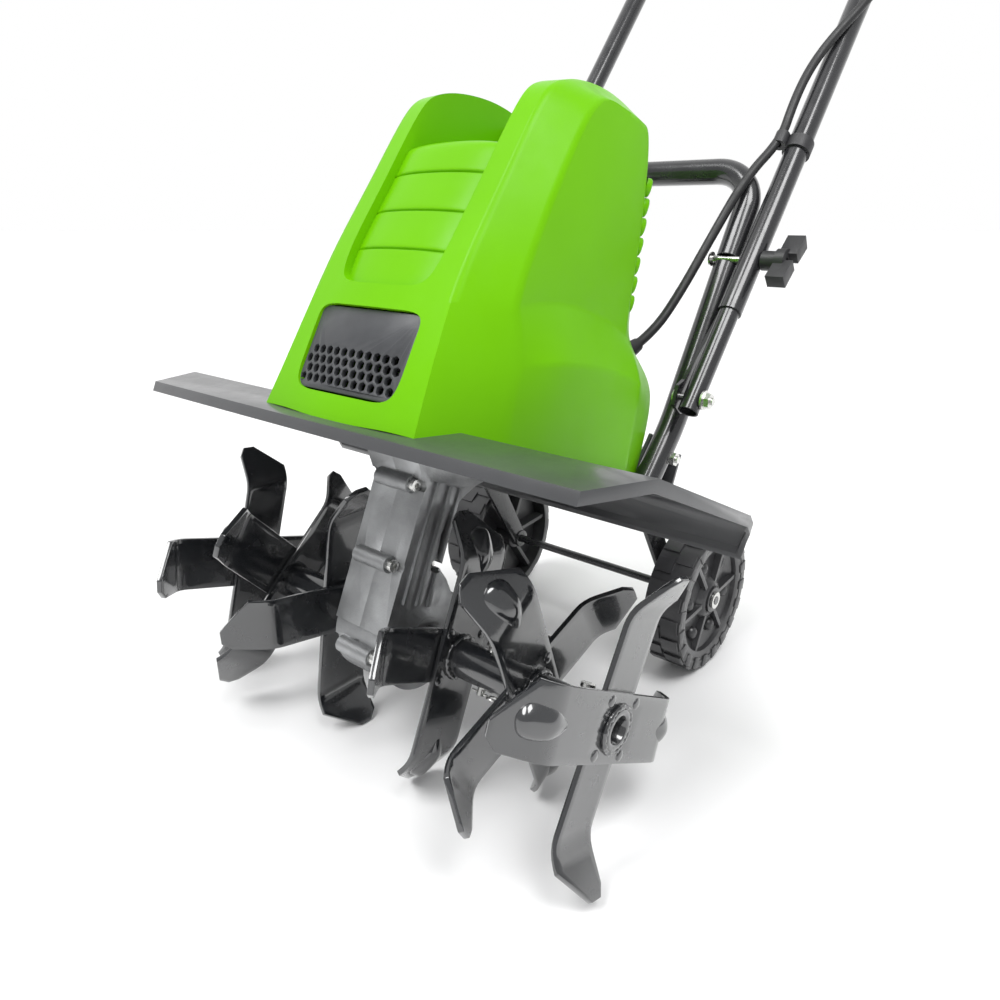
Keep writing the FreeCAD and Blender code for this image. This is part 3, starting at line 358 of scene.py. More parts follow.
def make_world():
    """A pale studio, brightest behind the object so that the background stays white."""
    world = bpy.data.worlds.new("studio")
    bpy.context.scene.world = world
    world.use_nodes = True
    tree = world.node_tree
    background = tree.nodes["Background"]
    coordinates = tree.nodes.new("ShaderNodeTexCoord")
    towards = tree.nodes.new("ShaderNodeVectorMath")
    towards.operation = "DOT_PRODUCT"
    towards.inputs[1].default_value = (-0.64, 0.76, 0.1)
    ramp = tree.nodes.new("ShaderNodeValToRGB")
    ramp.color_ramp.elements[0].position = 0.05
    ramp.color_ramp.elements[0].color = (0.56, 0.565, 0.57, 1)
    ramp.color_ramp.elements[1].position = 0.62
    ramp.color_ramp.elements[1].color = (1, 1, 1, 1)
    tree.links.new(coordinates.outputs["Generated"], towards.inputs[0])
    tree.links.new(towards.outputs["Value"], ramp.inputs["Fac"])
    tree.links.new(ramp.outputs["Color"], background.inputs["Color"])
    background.inputs["Strength"].default_value = 1.0


def make_studio():
    make_world()
    sun = bpy.data.lights.new("sun", "SUN")
    sun.energy = 2.0
    sun.angle = math.radians(30)
    sky = bpy.data.objects.new("sun", sun)
    bpy.context.scene.collection.objects.link(sky)
    sky.rotation_euler = Vector((0.28, 0.78, -1.3)).to_track_quat("-Z", "Y").to_euler()
    area_light("overhead", (1.1, -0.6, 2.3), (0, -0.35, 0.25), (1.0, 1.0), 30)
    mesh = bpy.data.meshes.new("floor")
    s = FLOOR_HALF
    mesh.from_pydata([(-s, -s, 0), (s, -s, 0), (s, s, 0), (-s, s, 0)], [], [(0, 1, 2, 3)])
    floor = bpy.data.objects.new("floor", mesh)
    bpy.context.scene.collection.objects.link(floor)
    m = Nodes("floor", (0.9, 0.9, 0.9), 0.8, specular=0.15)
    m.vary_color(m.noise(1.5, 2), 0.995, 1.005)
    floor.data.materials.append(m.material)
    view = bpy.context.scene.view_settings
    view.view_transform = "Standard"
    view.exposure = 0.0


# ---- hood: key points ----
# Lines up the right half, each point one row above the last, as (x, y, z).
FRONT_CREASE = [(76, -116.5, 141.2), (74, -115, 157), (71, -112.5, 183), (69, -110.3, 205),
                (67.6, -108.7, 219.5), (66.6, -106.6, 236), (65.6, -102.2, 263), (65, -96, 289),
                (64.5, -88.5, 319), (64, -81.5, 350), (63.5, -72.5, 386), (63, -61, 398)]
FACET_EDGE = [(101, -58, 153.4), (99.5, -60.5, 166), (98, -61.5, 184), (97, -62, 205),
              (94, -66.5, 223), (90.5, -72.5, 240), (88.8, -71.5, 263), (88.2, -67.5, 289),
              (87.2, -62.5, 319), (86.2, -55.5, 350), (85.2, -47.5, 381), (84, -34, 400)]
REAR_EDGE = [(106.5, 90, 163.6), (106.5, 87, 175), (106.5, 81, 203), (106.3, 75, 233),
             (98, 72, 251), (88.8, 64, 266), (88, 60, 284), (87.5, 56, 304),
             (87, 51, 331), (86, 45, 357), (85, 37.5, 385), (84, 27, 410)]
REAR_CREASE = [(95, 127, 165.5), (95, 126.5, 176), (95, 125, 203), (94.5, 119, 237),
               (88, 103, 252), (81, 82, 266), (79, 78, 284), (77.5, 74, 304),
               (76.5, 69, 331), (76, 62, 357), (74, 54, 388), (62, 57, 423)]
TOP_OUTER = [(84.6, -20, 403.5), (85, -4, 406), (85, 8, 408), (84.6, 18, 409.5)]
TOP_INNER = [(62.5, -43, 410), (61.5, -14, 421.5), (60.5, 10, 427), (60.5, 33, 429)]
SIDE_ROWS = [               # (x, heights of the four points between the facet edge and the rear edge)
    (105.6, (155.3, 157.5, 160, 162.1)), (105.8, (166, 168, 171, 173.5)),
    (105.6, (188, 193, 198, 201)), (105.2, (216.5, 224, 230, 232.5)),
    (97.5, (235, 243, 248.5, 250.5)), (88.9, (253, 262, 266.5, 268)),
    (88.9, (270, 277, 281.5, 283.5)), (88.6, (294, 299, 302.5, 304)),
    (88.0, (322, 326, 329, 330.5)), (87.2, (351.5, 354, 356, 357)), (86.0, (382, 383.5, 384.5, 385)),
]
RECESS_ROW = 5              # the rim round the front recess starts at this row
LABEL_ROWS = (1, 4)         # the grille's window lies between these rows
LEDGE_ROWS = (3, 5)         # the side ledge lies between these rows
WINDOW_X, RIM_X = 50.5, 46.5    # half widths of the grille's window and of the recess in front and top
RECESS_FOOT_Z = 238.0
GROOVES = (263.0, 293.0, 323.5)         # heights of the grooves across the recessed panel
HOOD_WALL = 2.4


# ---- control meshes ----
class Grid:
    """Control points, quads and creased edges of one mesh; points go by their numbers."""

    def __init__(self):
        self.points, self.faces, self.sharp = [], [], []

    def add(self, point):
        self.points.append(point)
        return len(self.points) - 1

    def line(self, points):
        return [self.add(p) for p in points]

    def strip(self, one, two, flip=False):
        for k in range(len(one) - 1):
            quad = (one[k], one[k + 1], two[k + 1], two[k])
            self.faces.append(tuple(reversed(quad)) if flip else quad)

    def mark(self, line, value):
        self.sharp += [(a, b, value) for a, b in zip(line[:-1], line[1:])]

    def mirror(self):
        """Add the other half across X = 0; points on the middle plane are shared."""
        twin = {}
        for k, (x, y, z) in enumerate(list(self.points)):
            twin[k] = k if abs(x) < 1e-6 else self.add((-x, y, z))
        self.faces += [tuple(twin[v] for v in reversed(f)) for f in self.faces]
        self.sharp += [(twin[a], twin[b], value) for a, b, value in self.sharp]


# ---- softened copies of CAD nodes ----
def softened(node, body, width, segments):
    """A copy of a CAD node with its flat faces whole again, its edges rounded, to be shown for it."""
    obj = bpy.data.objects.new("soft_" + node, frame["nodes"][node].data.copy())
    bpy.context.scene.collection.objects.link(obj)
    work = bmesh.new()
    work.from_mesh(obj.data)
    bmesh.ops.remove_doubles(work, verts=work.verts, dist=2e-6)
    bmesh.ops.dissolve_limit(work, angle_limit=math.radians(1.5), verts=work.verts, edges=work.edges)
    work.to_mesh(obj.data)
    work.free()
    bevel(obj, width, segments, 28)
    weighted = obj.modifiers.new("normals", "WEIGHTED_NORMAL")
    weighted.keep_sharp = True
    apply_modifiers(obj)
    shade_by_angle(obj, 35)
    return finish_piece(obj, body, NODE_SLOT[node], node, smooth=False)


# ---- hood ----
def profile_y(z):
    """Depth of the hood's front face at a height, between the creases."""
    for (_, y0, z0), (_, y1, z1) in zip(FRONT_CREASE[:-1], FRONT_CREASE[1:]):
        if z <= z1:
            return y0 + (y1 - y0) * (z - z0) / (z1 - z0)
    return FRONT_CREASE[-1][1]


def hood_sides(g):
    """The side wall and the faceted band that runs up the front, over the lobe and down the rear."""
    lines = {"front": g.line(FRONT_CREASE), "facet": g.line(FACET_EDGE), "rear_edge": g.line(REAR_EDGE),
             "rear": g.line(REAR_CREASE), "top_outer": g.line(TOP_OUTER), "top_inner": g.line(TOP_INNER)}
    rows = []
    for k, (x, heights) in enumerate(SIDE_ROWS):
        start, end = FACET_EDGE[k][1], REAR_EDGE[k][1]
        inner = []
        for t, z, swell in zip((0.2, 0.42, 0.65, 0.85), heights, (0, 0.6, 0.6, 0.2)):
            inner.append((x + swell, start + (end - start) * t, z))
        rows.append([lines["facet"][k]] + g.line(inner) + [lines["rear_edge"][k]])
    rows.append([lines["facet"][-1]] + lines["top_outer"] + [lines["rear_edge"][-1]])
    for low, high in zip(rows[:-1], rows[1:]):
        g.strip(low, high)
    lines["crest"] = lines["front"] + lines["top_inner"] + list(reversed(lines["rear"]))
    lines["shoulder"] = lines["facet"] + lines["top_outer"] + list(reversed(lines["rear_edge"]))
    g.strip(lines["crest"], lines["shoulder"])
    g.mark(lines["crest"], 0.86)
    g.mark(lines["shoulder"], 0.9)
    for row, value in zip(LEDGE_ROWS, (0.92, 0.85)):
        g.mark(rows[row], value)
    return lines


def hood_front(g, front):
    """The front face up to the recess's lower edge, open where the grille sits."""
    rows = []
    for k in range(RECESS_ROW + 1):
        _, y, z = FRONT_CREASE[k]
        edge = (43.0, y - 1.6, z + 2.5) if k == RECESS_ROW else (WINDOW_X, y - 2.0, z + 0.3)
        sag = 1.6 if k == 0 else 0.0
        rows.append(g.line([(0, y - 4.2, z - sag), (26, y - 3.6, z - sag), edge]) + [front[k]])
    low, high = LABEL_ROWS
    for k in range(RECESS_ROW):
        for c in range(3):
            if c == 2 or not low <= k < high:
                g.faces.append((rows[k][c], rows[k][c + 1], rows[k + 1][c + 1], rows[k + 1][c]))
    mouth = rows[low][:2] + [rows[k][2] for k in range(low, high + 1)] + [rows[high][1], rows[high][0]]
    back = [g.add((g.points[v][0] * 0.99, g.points[v][1] + 5, g.points[v][2])) for v in mouth]
    g.strip(mouth, back)
    g.mark(mouth, 0.92)
    g.mark(rows[RECESS_ROW][:3], 0.75)
    return rows


def hood_rim(g, lines, front_rows):
    """The narrow band between the crest and the recess, and the wall down from it."""
    rim = [front_rows[RECESS_ROW][2]]
    for _, y, z in FRONT_CREASE[RECESS_ROW + 1:]:
        rim.append(g.add((RIM_X, y - 1.4, z + 0.4)))
    for _, y, z in TOP_INNER:
        rim.append(g.add((RIM_X, y, z + 0.3)))
    rim.append(g.add((RIM_X, 58, 422.5)))
    crest = lines["crest"][RECESS_ROW:len(FRONT_CREASE) + len(TOP_INNER) + 1]
    g.strip(rim, crest)
    sill = front_rows[RECESS_ROW][:2]
    foot = [g.add((x, g.points[v][1] + 7, RECESS_FOOT_Z)) for x, v in zip((0, 27), sill)]
    for v in rim:
        x, y, z = g.points[v]
        if z > 380:                     # beside the scoop the wall goes straight down
            foot.append(g.add((44.5, y, 340)))
        else:
            foot.append(g.add((min(x, 45.3), y + 7, z + 1.5)))
    g.strip(sill + rim, foot)
    g.mark(rim, 0.75)
    return rim


# (y, z) down behind the panel's top edge, along the scoop's floor and up over the saddle
SADDLE = [(-74.5, 352.5), (-70, 353.5), (-62, 350), (-42, 347), (-18, 347), (-2, 351), (3, 364), (5, 392),
          (8, 411), (16, 416.5), (34, 419.5)]
PANEL_COLUMNS = ((0, -3.0), (22, -2.3), (38, 0.2), (46, 3.6))      # (x, how far the bow sets y)


def hood_middle(g, rim_end):
    """The recessed panel with its grooves, the scoop behind its arched top edge, and the saddle."""
    rows = []
    stations = [(236.5, 0), (241, 0)]
    for z in GROOVES:
        stations += [(z - 2.8, 0), (z - 0.7, 0), (z - 0.4, 2.2), (z + 0.5, 2.2), (z + 1.9, 0.1)]
    stations += [(338, 0), (348, 0)]
    for z, deep in stations:
        y = profile_y(z) + 1.6
        rows.append(g.line([(x, y + bow + (deep if x < 44 else deep * 0.3), z) for x, bow in PANEL_COLUMNS]))
    for y, z in SADDLE:
        drop = [0, 0.6, 2.0, 3.2] if y < -60 else [0, 0, 0, 0]
        rows.append(g.line([(x, y + (bow + 3.0) * 0.5, z - d) for (x, bow), d in zip(PANEL_COLUMNS, drop)]))
    last = g.line([(0, 60, 420.5), (22, 60, 420.8), (38, 59.2, 421.3)]) + [rim_end]
    rows.append(last)
    for a, b in zip(rows[:-1], rows[1:]):
        g.strip(a, b)
    top_edge = len(stations)
    g.mark(rows[top_edge], 0.5)
    for k in range(len(GROOVES)):
        for row in range(3 + 5 * k, 7 + 5 * k):
            g.mark(rows[row], 0.35)
    return last


def hood_rear(g, top_row, rear):
    """The rear face, row by row down from the saddle to the base."""
    above = top_row + [rear[-1]]
    for k in range(len(REAR_CREASE) - 2, -1, -1):
        x, y, z = REAR_CREASE[k]
        share = x / REAR_CREASE[-1][0]
        row = g.line([(0, y + 5, z), (22 * share, y + 4.6, z), (38 * share, y + 3.4, z),
                      (RIM_X * share, y + 2.4, z)]) + [rear[k]]
        g.strip(row, above)
        above = row


def make_hood():
    g = Grid()
    lines = hood_sides(g)
    front_rows = hood_front(g, lines["front"])
    rim = hood_rim(g, lines, front_rows)
    top_row = hood_middle(g, rim[-1])
    hood_rear(g, top_row, lines["rear"])
    g.mirror()
    hood = mesh_piece("hood_shell", g.points, g.faces)
    face_outwards(hood)
    crease(hood, g.sharp)
    subdivide(hood, 3)
    solid = hood.modifiers.new("thickness", "SOLIDIFY")
    solid.thickness = HOOD_WALL / 1000
    solid.offset = -1
    apply_modifiers(hood)
    shade_by_angle(hood, 50)
    finish_piece(hood, "chassis", "hood_green", "hood", smooth=False)
    make_rear_bumps()


def make_rear_bumps():
    """The rounded ends of the rear louvres, which show along the hood's rear corners."""
    for side, sign in (("right", 1), ("left", -1)):
        spots = [(sign * 83.0, 69.0 - (z - 290) * 0.235, z) for z in range(292, 388, 14)]
        bumps = dome_objects("rear_louvre_ends_" + side, spots, (sign * 0.8, 0.6, 0), 6.9, 1.9)
        finish_piece(bumps, "chassis", "hood_green")


def make_grille():
    """The grille, bowed forwards to sit just inside the hood's window."""
    grille = softened("vent_grille", "chassis", 0.4, 2)
    for vertex in grille.data.vertices:
        spot = to_machine(vertex.co)
        spot.y -= 1.6 + 3.2 * (1 - (spot.x / 50) ** 2)
        vertex.co = MACHINE @ spot


# ---- wheels ----
FACE_X = 134.0                            # the plane that a wheel's outer face is turned on
BOSS_X, BOSS_CIRCLE = 129.5, 36
LUGS, LUG_HALF = 20, 6.0                  # blocks on the sidewall, and half the width of one
LUG_NEAR, LUG_FAR = 56, 66.5              # radii that a block lies between
LUG_SIDES_X = (136.0, 140.0)


def make_wheel_face(side):
    """The moulded outer face of a wheel: a rounded sidewall, a dished disc, six bosses and the lugs."""
    sign = 1 if side == "right" else -1
    hub = to_machine(JOINTS[side + "_wheel_spin"]["pos_m"])
    y, z = hub.y, hub.z
    body = side + "_wheel"
    inner = (sign * FACE_X, y, z)
    outer = (sign * (FACE_X + 5), y, z)
    round_wall = [(50, -1), (51, 3), (54, 4.4), (62, 4.6), (65.5, 3.2), (66.5, 0), (64, -1)]
    wall = spun(body + "_sidewall", inner, outer, round_wall, 72)
    shade_by_angle(wall, 45)
    finish_piece(wall, body, "wheel_plastic", smooth=False)
    dish = [(11.5, 1.5), (14, 3.6), (17, 2.0), (20, -3), (40, -5), (50, -1),
            (50.5, -3), (40, -7), (20, -5.2), (11.5, -4)]
    disc = spun(body + "_disc", inner, outer, dish, 72)
    shade_by_angle(disc, 40)
    finish_piece(disc, body, "wheel_plastic", smooth=False)
    turns = [math.radians(a) for a in range(15, 375, 60)]
    spots = [(sign * BOSS_X, y + BOSS_CIRCLE * math.cos(a), z + BOSS_CIRCLE * math.sin(a)) for a in turns]
    bosses = dome_objects(body + "_bosses", spots, (sign, 0, 0), 6.5, 6.0)
    finish_piece(bosses, body, "wheel_plastic")
    lugs = Grid()
    for k in range(LUGS):
        lug_block(lugs, sign, (y, z), math.radians(360 / LUGS * k))
    lug = mesh_piece(body + "_lugs", lugs.points, lugs.faces)
    face_outwards(lug)
    bevel(lug, 0.8, 2)
    apply_modifiers(lug)
    shade_by_angle(lug, 40)
    finish_piece(lug, body, "wheel_plastic", smooth=False)


def lug_block(g, sign, centre, turn):
    """One tapered block on a wheel's sidewall."""
    corners = []
    for x in LUG_SIDES_X:
        for radius, wide in ((LUG_NEAR, LUG_HALF * 0.7), (LUG_FAR, LUG_HALF)):
            for side in (-1, 1):
                dy = radius * math.cos(turn) - side * wide * math.sin(turn)
                dz = radius * math.sin(turn) + side * wide * math.cos(turn)
                corners.append(g.add((sign * x, centre[0] + dy, centre[1] + dz)))
    a, b, c, d, e, f, h, k = corners
    g.faces += [(a, b, d, c), (e, f, k, h), (a, b, f, e), (c, d, k, h), (a, c, h, e), (b, d, k, f)]


# ---- turned pieces, beads and domes ----
def face_outwards(obj):
    work = bmesh.new()
    work.from_mesh(obj.data)
    bmesh.ops.recalc_face_normals(work, faces=work.faces)
    work.to_mesh(obj.data)
    work.free()


def axis_frame(start, end):
    """A matrix at start whose Z runs towards end."""
    way = (Vector(end) - Vector(start)).normalized()
    return Matrix.Translation(Vector(start)) @ way.to_track_quat("Z", "Y").to_matrix().to_4x4()


def spun(name, start, end, profile, segments=48):
    """A turned piece: (radius, distance from start) pairs spun about the line from start to end."""
    place = axis_frame(start, end)
    points, faces = [], []
    n = len(profile)
    for k in range(segments):
        turn = 2 * math.pi * k / segments
        points += [place @ Vector((r * math.cos(turn), r * math.sin(turn), h)) for r, h in profile]
    for k in range(segments):
        m = (k + 1) % segments
        for c in range(n):
            d = (c + 1) % n
            faces.append((k * n + c, m * n + c, m * n + d, k * n + d))
    obj = mesh_piece(name, points, faces)
    work = bmesh.new()
    work.from_mesh(obj.data)
    bmesh.ops.remove_doubles(work, verts=work.verts, dist=1e-6)
    bmesh.ops.dissolve_degenerate(work, dist=1e-7, edges=work.edges)
    bmesh.ops.recalc_face_normals(work, faces=work.faces)
    work.to_mesh(obj.data)
    work.free()
    return obj


def rod_object(name, start, end, radius, segments):
    length = (Vector(end) - Vector(start)).length
    return spun(name, start, end, [(0, 0), (radius, 0), (radius, length), (0, length)], segments)


def tube_object(name, start, end, outer, inner):
    length = (Vector(end) - Vector(start)).length
    c = min(0.7, (outer - inner) * 0.3)
    profile = [(inner, c), (inner + c, 0), (outer - c, 0), (outer, c), (outer, length - c),
               (outer - c, length), (inner + c, length), (inner, length - c)]
    obj = spun(name, start, end, profile)
    shade_by_angle(obj, 50)
    return obj


def weld_bead(name, centre, radius, thick, lumps):
    """A slightly lumpy ring round the X axis."""
    place = axis_frame(centre, Vector(centre) + Vector((1, 0, 0)))
    points, faces = [], []
    big, small = 60, 10
    for k in range(big):
        turn = 2 * math.pi * k / big
        r = thick * (1 + lumps * 0.5 * math.sin(k * 2.1) + lumps * 0.35 * math.sin(k * 5.3))
        for m in range(small):
            a = 2 * math.pi * m / small
            d = radius + r * math.cos(a)
            points.append(place @ Vector((d * math.cos(turn), d * math.sin(turn), r * math.sin(a))))
    for k in range(big):
        for m in range(small):
            n, p = (k + 1) % big, (m + 1) % small
            faces.append((k * small + m, n * small + m, n * small + p, k * small + p))
    obj = mesh_piece(name, points, faces)
    face_outwards(obj)
    return obj


DOME_SIDES = 20
# (share of the radius, share of the height), from the foot up
DOME_RINGS = ((1.0, -1.5), (1.0, 0.0), (0.86, 0.55), (0.55, 0.88), (0.0001, 1.0))


def dome_objects(name, spots, axis, radius, height):
    """Low round domes at the given spots, all facing one way."""
    points, faces = [], []
    for spot in spots:
        place = axis_frame(spot, Vector(spot) + Vector(axis))
        start = len(points)
        for share, up in DOME_RINGS:
            for k in range(DOME_SIDES):
                turn = 2 * math.pi * k / DOME_SIDES
                r = radius * share
                points.append(place @ Vector((r * math.cos(turn), r * math.sin(turn), height * up)))
        for ring in range(len(DOME_RINGS) - 1):
            for k in range(DOME_SIDES):
                m = (k + 1) % DOME_SIDES
                a, b = start + ring * DOME_SIDES, start + (ring + 1) * DOME_SIDES
                faces.append((a + k, a + m, b + m, b + k))
    obj = mesh_piece(name, points, faces)
    face_outwards(obj)
    return obj


# ---- tine stars ----
STAR_X = {"inner": 62.0, "mid": 133.0, "outer": 195.0}      # the same places as in the CAD
STAR_TURN = {"right": {"inner": 91.0, "mid": 134.0, "outer": -6.0},
             "left": {"inner": 105.0, "mid": 157.0, "outer": 8.0}}
BAR_HALF = {True: 20.0, False: 23.0}      # half widths of the outward- and inward-bent bars
BAR_THICKNESS, BAR_OFF_MIDDLE = 4.0, 2.05
BEND, SLANT = 76.0, 4.0                    # where a bar bends, and how far the bend line slants
REACH, SPLAY = 28.8, 23.0                 # how far a bent end goes outwards along the bar and sideways
TIP_CUT, TIP_WIDE = 0.36, 6.0             # where the long cut starts, and where it ends across the tip
CORNER_CUT, CORNER_WIDE = 0.8, 16.0       # the same for the short cut on the other corner
GUSSET_SINK = 2.4                         # how deep a gusset's long edges go into its bar
HUB_RADIUS, HUB_BORE = 14.0, 9.4
OUTER_HUB_X = 160.5                       # where the outer star's own hub tube begins
SMALL_BOSS_CIRCLE = 24.5
BAR_ACROSS = (0, 0.12, 0.5, 0.88, 1)


def bar_end_rows(half, splay):
    """Rows of points across one end of a bar, tip first, then round the bend to the flat."""
    def at(across, share):
        return Vector((splay * share, across, BEND + SLANT * across / half + REACH * share))

    def row(share, left, right):
        return [at(left + (right - left) * t, share) for t in BAR_ACROSS]

    rows = []
    for share in (1.0, 0.9, CORNER_CUT, 0.6, TIP_CUT):
        corner = max(0.0, (share - CORNER_CUT) / (1 - CORNER_CUT))
        left = -half + (half - CORNER_WIDE) * corner
        right = half - (half + TIP_WIDE) * (share - TIP_CUT) / (1 - TIP_CUT)
        rows.append(row(share, left, right))
    for t in (1, 0.75, 0.5, 0.25, 0):
        arc = []
        for u in BAR_ACROSS:
            across = half * (2 * u - 1)
            flat = at(across, 0) - Vector((0, 0, 9))
            arc.append(flat * (1 - t) ** 2 + at(across, 0) * 2 * t * (1 - t) + at(across, 0.26) * t * t)
        rows.append(arc)
    return rows


def star_bar(outward):
    """Points and faces of one whole bar, both ends, as a single sheet along Z."""
    half = BAR_HALF[outward]
    rows = bar_end_rows(half, SPLAY if outward else -SPLAY)
    rows.append([Vector((0, half * (2 * u - 1), 30)) for u in BAR_ACROSS])
    rows += [[Vector((v.x, -v.y, -v.z)) for v in reversed(row)] for row in reversed(rows)]
    points = [v for row in rows for v in row]
    faces = []
    n = len(BAR_ACROSS)
    for r in range(len(rows) - 1):
        faces += [(r * n + c, r * n + c + 1, (r + 1) * n + c + 1, (r + 1) * n + c) for c in range(n - 1)]
    return points, faces


def gusset_rows():
    """The pressed gusset past the bend of a bar: it rises from the bend and ends bluntly."""
    rows = []
    for along, wide, high in ((-15, 2.0, 0), (-9, 6.5, 1.6), (0, 10, 3.6), (7, 12, 5.0), (13, 12.5, 6.0),
                              (17.5, 11.5, 6.2), (20.5, 9, 4.4), (22.3, 5, 1.6), (23.2, 1.5, 0)):
        if along <= 0:
            base = Vector((0, 0, BEND + along))
            out = Vector((1, 0, 0))
        else:
            way = Vector((-SPLAY, 0, REACH)).normalized()
            base = Vector((0, 0, BEND)) + way * along
            out = Vector((way.z, 0, -way.x))
        row = []
        for t in (-1, -0.85, -0.4, 0, 0.4, 0.85, 1):
            sink = GUSSET_SINK if abs(t) == 1 else 0
            lift = high * (1 - abs(t) ** 1.5) + 1.6 - sink
            row.append(base + Vector((0, wide * t, 0)) + out * lift)
        rows.append(row)
    return rows


def add_sheet(g, rows, place):
    grid = [g.line([place(v) for v in row]) for row in rows]
    for a, b in zip(grid[:-1], grid[1:]):
        g.strip(a, b)


def star_place(side, place, outward, turn_more=0.0):
    """A function that puts a point of a bar in its star; the two bars lie on either side of the middle."""
    sign = 1 if side == "right" else -1
    turn = math.radians(STAR_TURN[side][place] + (0 if outward else 90) + turn_more)
    spin = Matrix.Rotation(turn, 3, "X")
    centre = STAR_X[place] + (-BAR_OFF_MIDDLE if outward else BAR_OFF_MIDDLE)

    def put(v):
        x, y, z = spin @ v
        return (sign * (centre + x), y, z)
    return put


def make_star(side, place):
    g = Grid()
    for outward in (True, False):
        put = star_place(side, place, outward)
        points, faces = star_bar(outward)
        start = len(g.points)
        g.line([put(v) for v in points])
        g.faces += [tuple(start + v for v in f) for f in faces]
    name = "tine_star_%s_%s" % (place, side)
    star = mesh_piece(name + "_plates", g.points, g.faces)
    face_outwards(star)
    solid = star.modifiers.new("thickness", "SOLIDIFY")
    solid.thickness = BAR_THICKNESS / 1000
    solid.offset = 0
    cutter = rod_object("cutter", (-260, 0, 0), (260, 0, 0), HUB_RADIUS - 0.2, 40)
    hole = star.modifiers.new("hub hole", "BOOLEAN")
    hole.object = cutter
    hole.operation = "DIFFERENCE"
    bevel(star, 0.6, 2, 40)
    apply_modifiers(star)
    bpy.data.objects.remove(cutter)
    shade_by_angle(star, 32)
    finish_piece(star, "tines", "tine_steel", name, smooth=False)
    ridges = Grid()
    for half_turn in (0, 180):
        add_sheet(ridges, gusset_rows(), star_place(side, place, False, half_turn))
    ridge = mesh_piece(name + "_ridges", ridges.points, ridges.faces)
    face_outwards(ridge)
    subdivide(ridge, 2)
    apply_modifiers(ridge)
    finish_piece(ridge, "tines", "tine_steel")
    make_star_hub(side, place)


def make_star_hub(side, place):
    """The weld bead round the hub, four small pressed bosses, and the outer star's own hub tube."""
    sign = 1 if side == "right" else -1
    x = STAR_X[place]
    name = "tine_star_%s_%s" % (place, side)
    bead = weld_bead(name + "_weld", (sign * (x + 4.6), 0, 0), HUB_RADIUS + 1.0, 2.0, lumps=0.35)
    finish_piece(bead, "tines", "tine_steel")
    turn = STAR_TURN[side][place]
    spots = []
    for k in range(4):
        angle = math.radians(turn + 45 + 90 * k)
        y, z = -SMALL_BOSS_CIRCLE * math.sin(angle), SMALL_BOSS_CIRCLE * math.cos(angle)
        spots.append((sign * (x + 3.9), y, z))
    bosses = dome_objects(name + "_bosses", spots, (sign, 0, 0), 4.2, 1.4)
    finish_piece(bosses, "tines", "tine_steel")
    if place == "outer":
        start, end = (sign * OUTER_HUB_X, 0, 0), (sign * (x + 6.5), 0, 0)
        stub = tube_object(name + "_stub", start, end, HUB_RADIUS, HUB_BORE)
        finish_piece(stub, "tines", "tine_steel", smooth=False)


SHAFT_END, SHAFT_RADIUS = 184.0, 9.2


def make_shaft():
    """The tine shaft with its chamfered, centre-drilled ends and a groove near each."""
    r = SHAFT_RADIUS
    groove = [(r, 8), (r - 0.7, 8.3), (r - 0.7, 9.7), (r, 10)]
    half = [(0, 5.5), (2.6, 1.2), (3.4, 0.2), (r - 1.2, 0), (r, 1.2)] + groove
    profile = half + [(radius, 2 * SHAFT_END - along) for radius, along in reversed(half)]
    shaft = spun("shaft", (-SHAFT_END, 0, 0), (SHAFT_END, 0, 0), profile)
    shade_by_angle(shaft, 25)
    finish_piece(shaft, "tines", "steel", "tine_shaft", smooth=False)


# ---- power cable ----
HANDLE_ANGLE, GRIP_ANGLE, HANDLE_TUBE_X, HANDLE_STRAIGHT = 75.0, 35.0, 128.5, 800.0
PIVOT_Y, PIVOT_Z = 124.5, 237.0


def handle_point(along, out=0.0, x=HANDLE_TUBE_X):
    """A point by its distance along the handle tube and out from it."""
    turn = math.radians(HANDLE_ANGLE)
    y = PIVOT_Y + along * math.cos(turn) - out * math.sin(turn)
    return (x, y, PIVOT_Z + along * math.sin(turn) + out * math.cos(turn))


def along_tube(z, sideways, front):
    """A point of the cable beside the handle tube, at a height on the tube."""
    along = (z - PIVOT_Z) / math.sin(math.radians(HANDLE_ANGLE))
    return handle_point(along, front, HANDLE_TUBE_X + sideways)


def past_bend(run, sideways, front):
    """A point of the cable beyond the handle's bend, where the tube levels out."""
    level = math.radians(GRIP_ANGLE)
    _, y, z = handle_point(HANDLE_STRAIGHT)
    return (HANDLE_TUBE_X + sideways, y + run * math.cos(level) - front * math.sin(level),
            z + run * math.sin(level) + front * math.cos(level))


CABLE_RADIUS = 4.0
FREE_FROM, FREE_TO = 1, 4                 # two points of the route; make_cable reads their places but uses them no further
CABLE_ROUTE = [(74, 100, 264), (78, 122, 286), (84, 138, 328), (92, 149, 380), (104, 158, 438)] + [
    along_tube(*spot) for spot in (
        (478, -12.5, 11), (508, -12.5, 15.5), (536, -12, 16), (562, -9, 14.5), (586, 0, 15.5),
        (612, 10, 13.5), (646, 15.5, 6), (694, 15.2, 0), (752, 14.7, 2), (812, 15.2, 0),
        (872, 14.8, 2), (928, 15.2, 1), (972, 15, -3))] + [
    handle_point(798, -8, HANDLE_TUBE_X + 14), past_bend(29, 11, -9.3)]


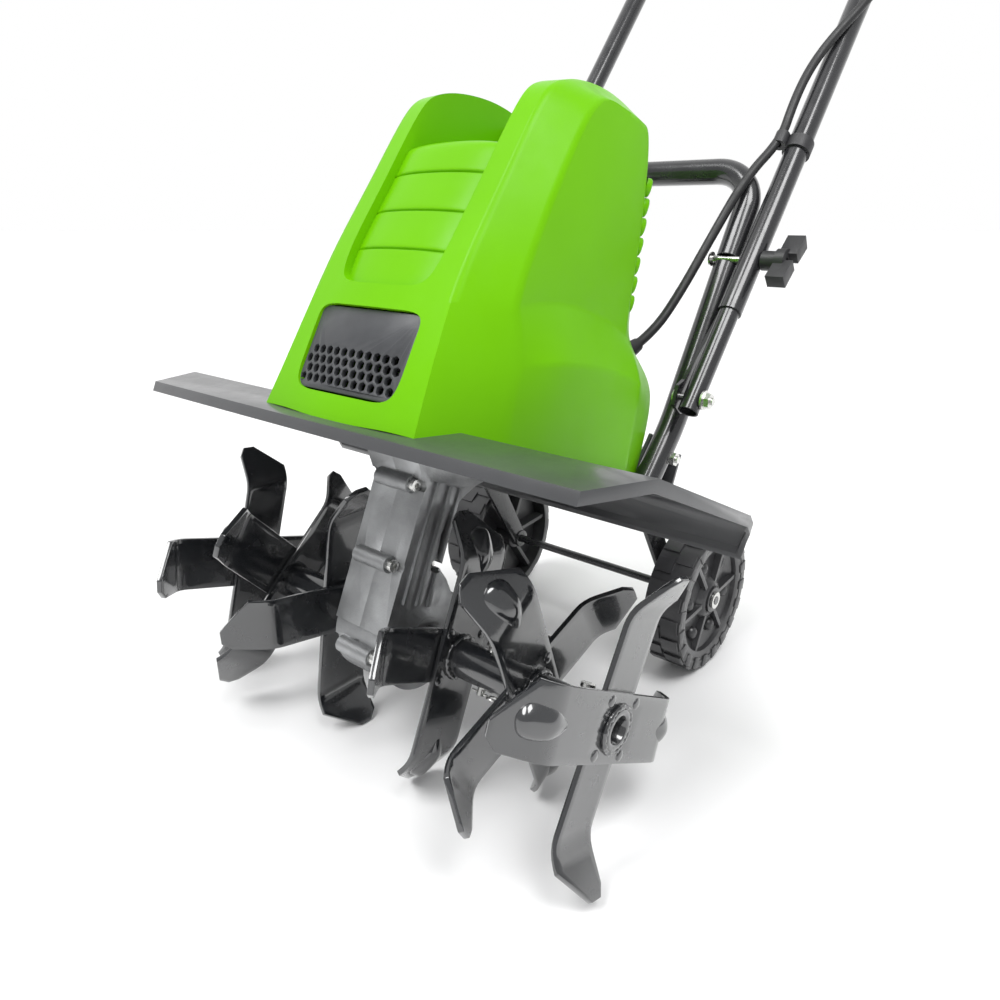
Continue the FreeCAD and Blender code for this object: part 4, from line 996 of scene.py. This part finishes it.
def make_cable():
    curve = bpy.data.curves.new("cable_route", "CURVE")
    curve.dimensions = "3D"
    spline = curve.splines.new("NURBS")
    spline.points.add(len(CABLE_ROUTE) - 1)
    for point, spot in zip(spline.points, CABLE_ROUTE):
        point.co = (*(MACHINE @ Vector(spot)), 1)
    spline.order_u = 3
    spline.use_endpoint_u = True
    curve.resolution_u = 10
    curve.bevel_depth = CABLE_RADIUS / 1000
    curve.bevel_resolution = 5
    curve.use_fill_caps = True
    holder = bpy.data.objects.new("cable_route", curve)
    bpy.context.scene.collection.objects.link(holder)
    bpy.context.view_layer.update()
    mesh = bpy.data.meshes.new_from_object(holder)
    bpy.data.objects.remove(holder)
    cable = bpy.data.objects.new("power_cable_skin", mesh)
    bpy.context.scene.collection.objects.link(cable)
    cable.data.materials.clear()
    cable.data.materials.append(SLOTS["cord_rubber"])
    for polygon in cable.data.polygons:
        polygon.use_smooth = True
    start, end = (MACHINE @ Vector(CABLE_ROUTE[k]) for k in (FREE_FROM, FREE_TO))
    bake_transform(cable)
    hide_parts("power_cable")


# ---- put it together ----
make_camera()
make_studio()
make_hood()
for side in ("right", "left"):
    for place in STAR_X:
        make_star(side, place)
make_cable()
make_grille()
make_shaft()
for side in ("right", "left"):
    make_wheel_face(side)
SOFTENED = {                # node: (body, rounding in millimetres, segments)
    "deck": ("chassis", 1.6, 3),
    "gearbox_right_half": ("chassis", 1.2, 2), "gearbox_left_half": ("chassis", 1.2, 2),
    "frame_bracket_right": ("chassis", 0.7, 2), "frame_bracket_left": ("chassis", 0.7, 2),
    "wheel_bracket_right": ("chassis", 0.7, 2), "wheel_bracket_left": ("chassis", 0.7, 2),
    "wing_knob_right": ("right_knob", 1.5, 3), "wing_knob_left": ("left_knob", 1.5, 3),
    "switch_box_cover": ("handle", 2.2, 3), "switch_box_base": ("handle", 1.6, 3),
    "wheel_right": ("right_wheel", 0.8, 2), "wheel_left": ("left_wheel", 0.8, 2),
    "rear_vent_cover": ("chassis", 0.8, 2),
    "foam_grip": ("handle", 3.0, 3), "lock_off_button": ("button", 0.8, 3),
}
for node, (body, width, segments) in SOFTENED.items():
    softened(node, body, width, segments)
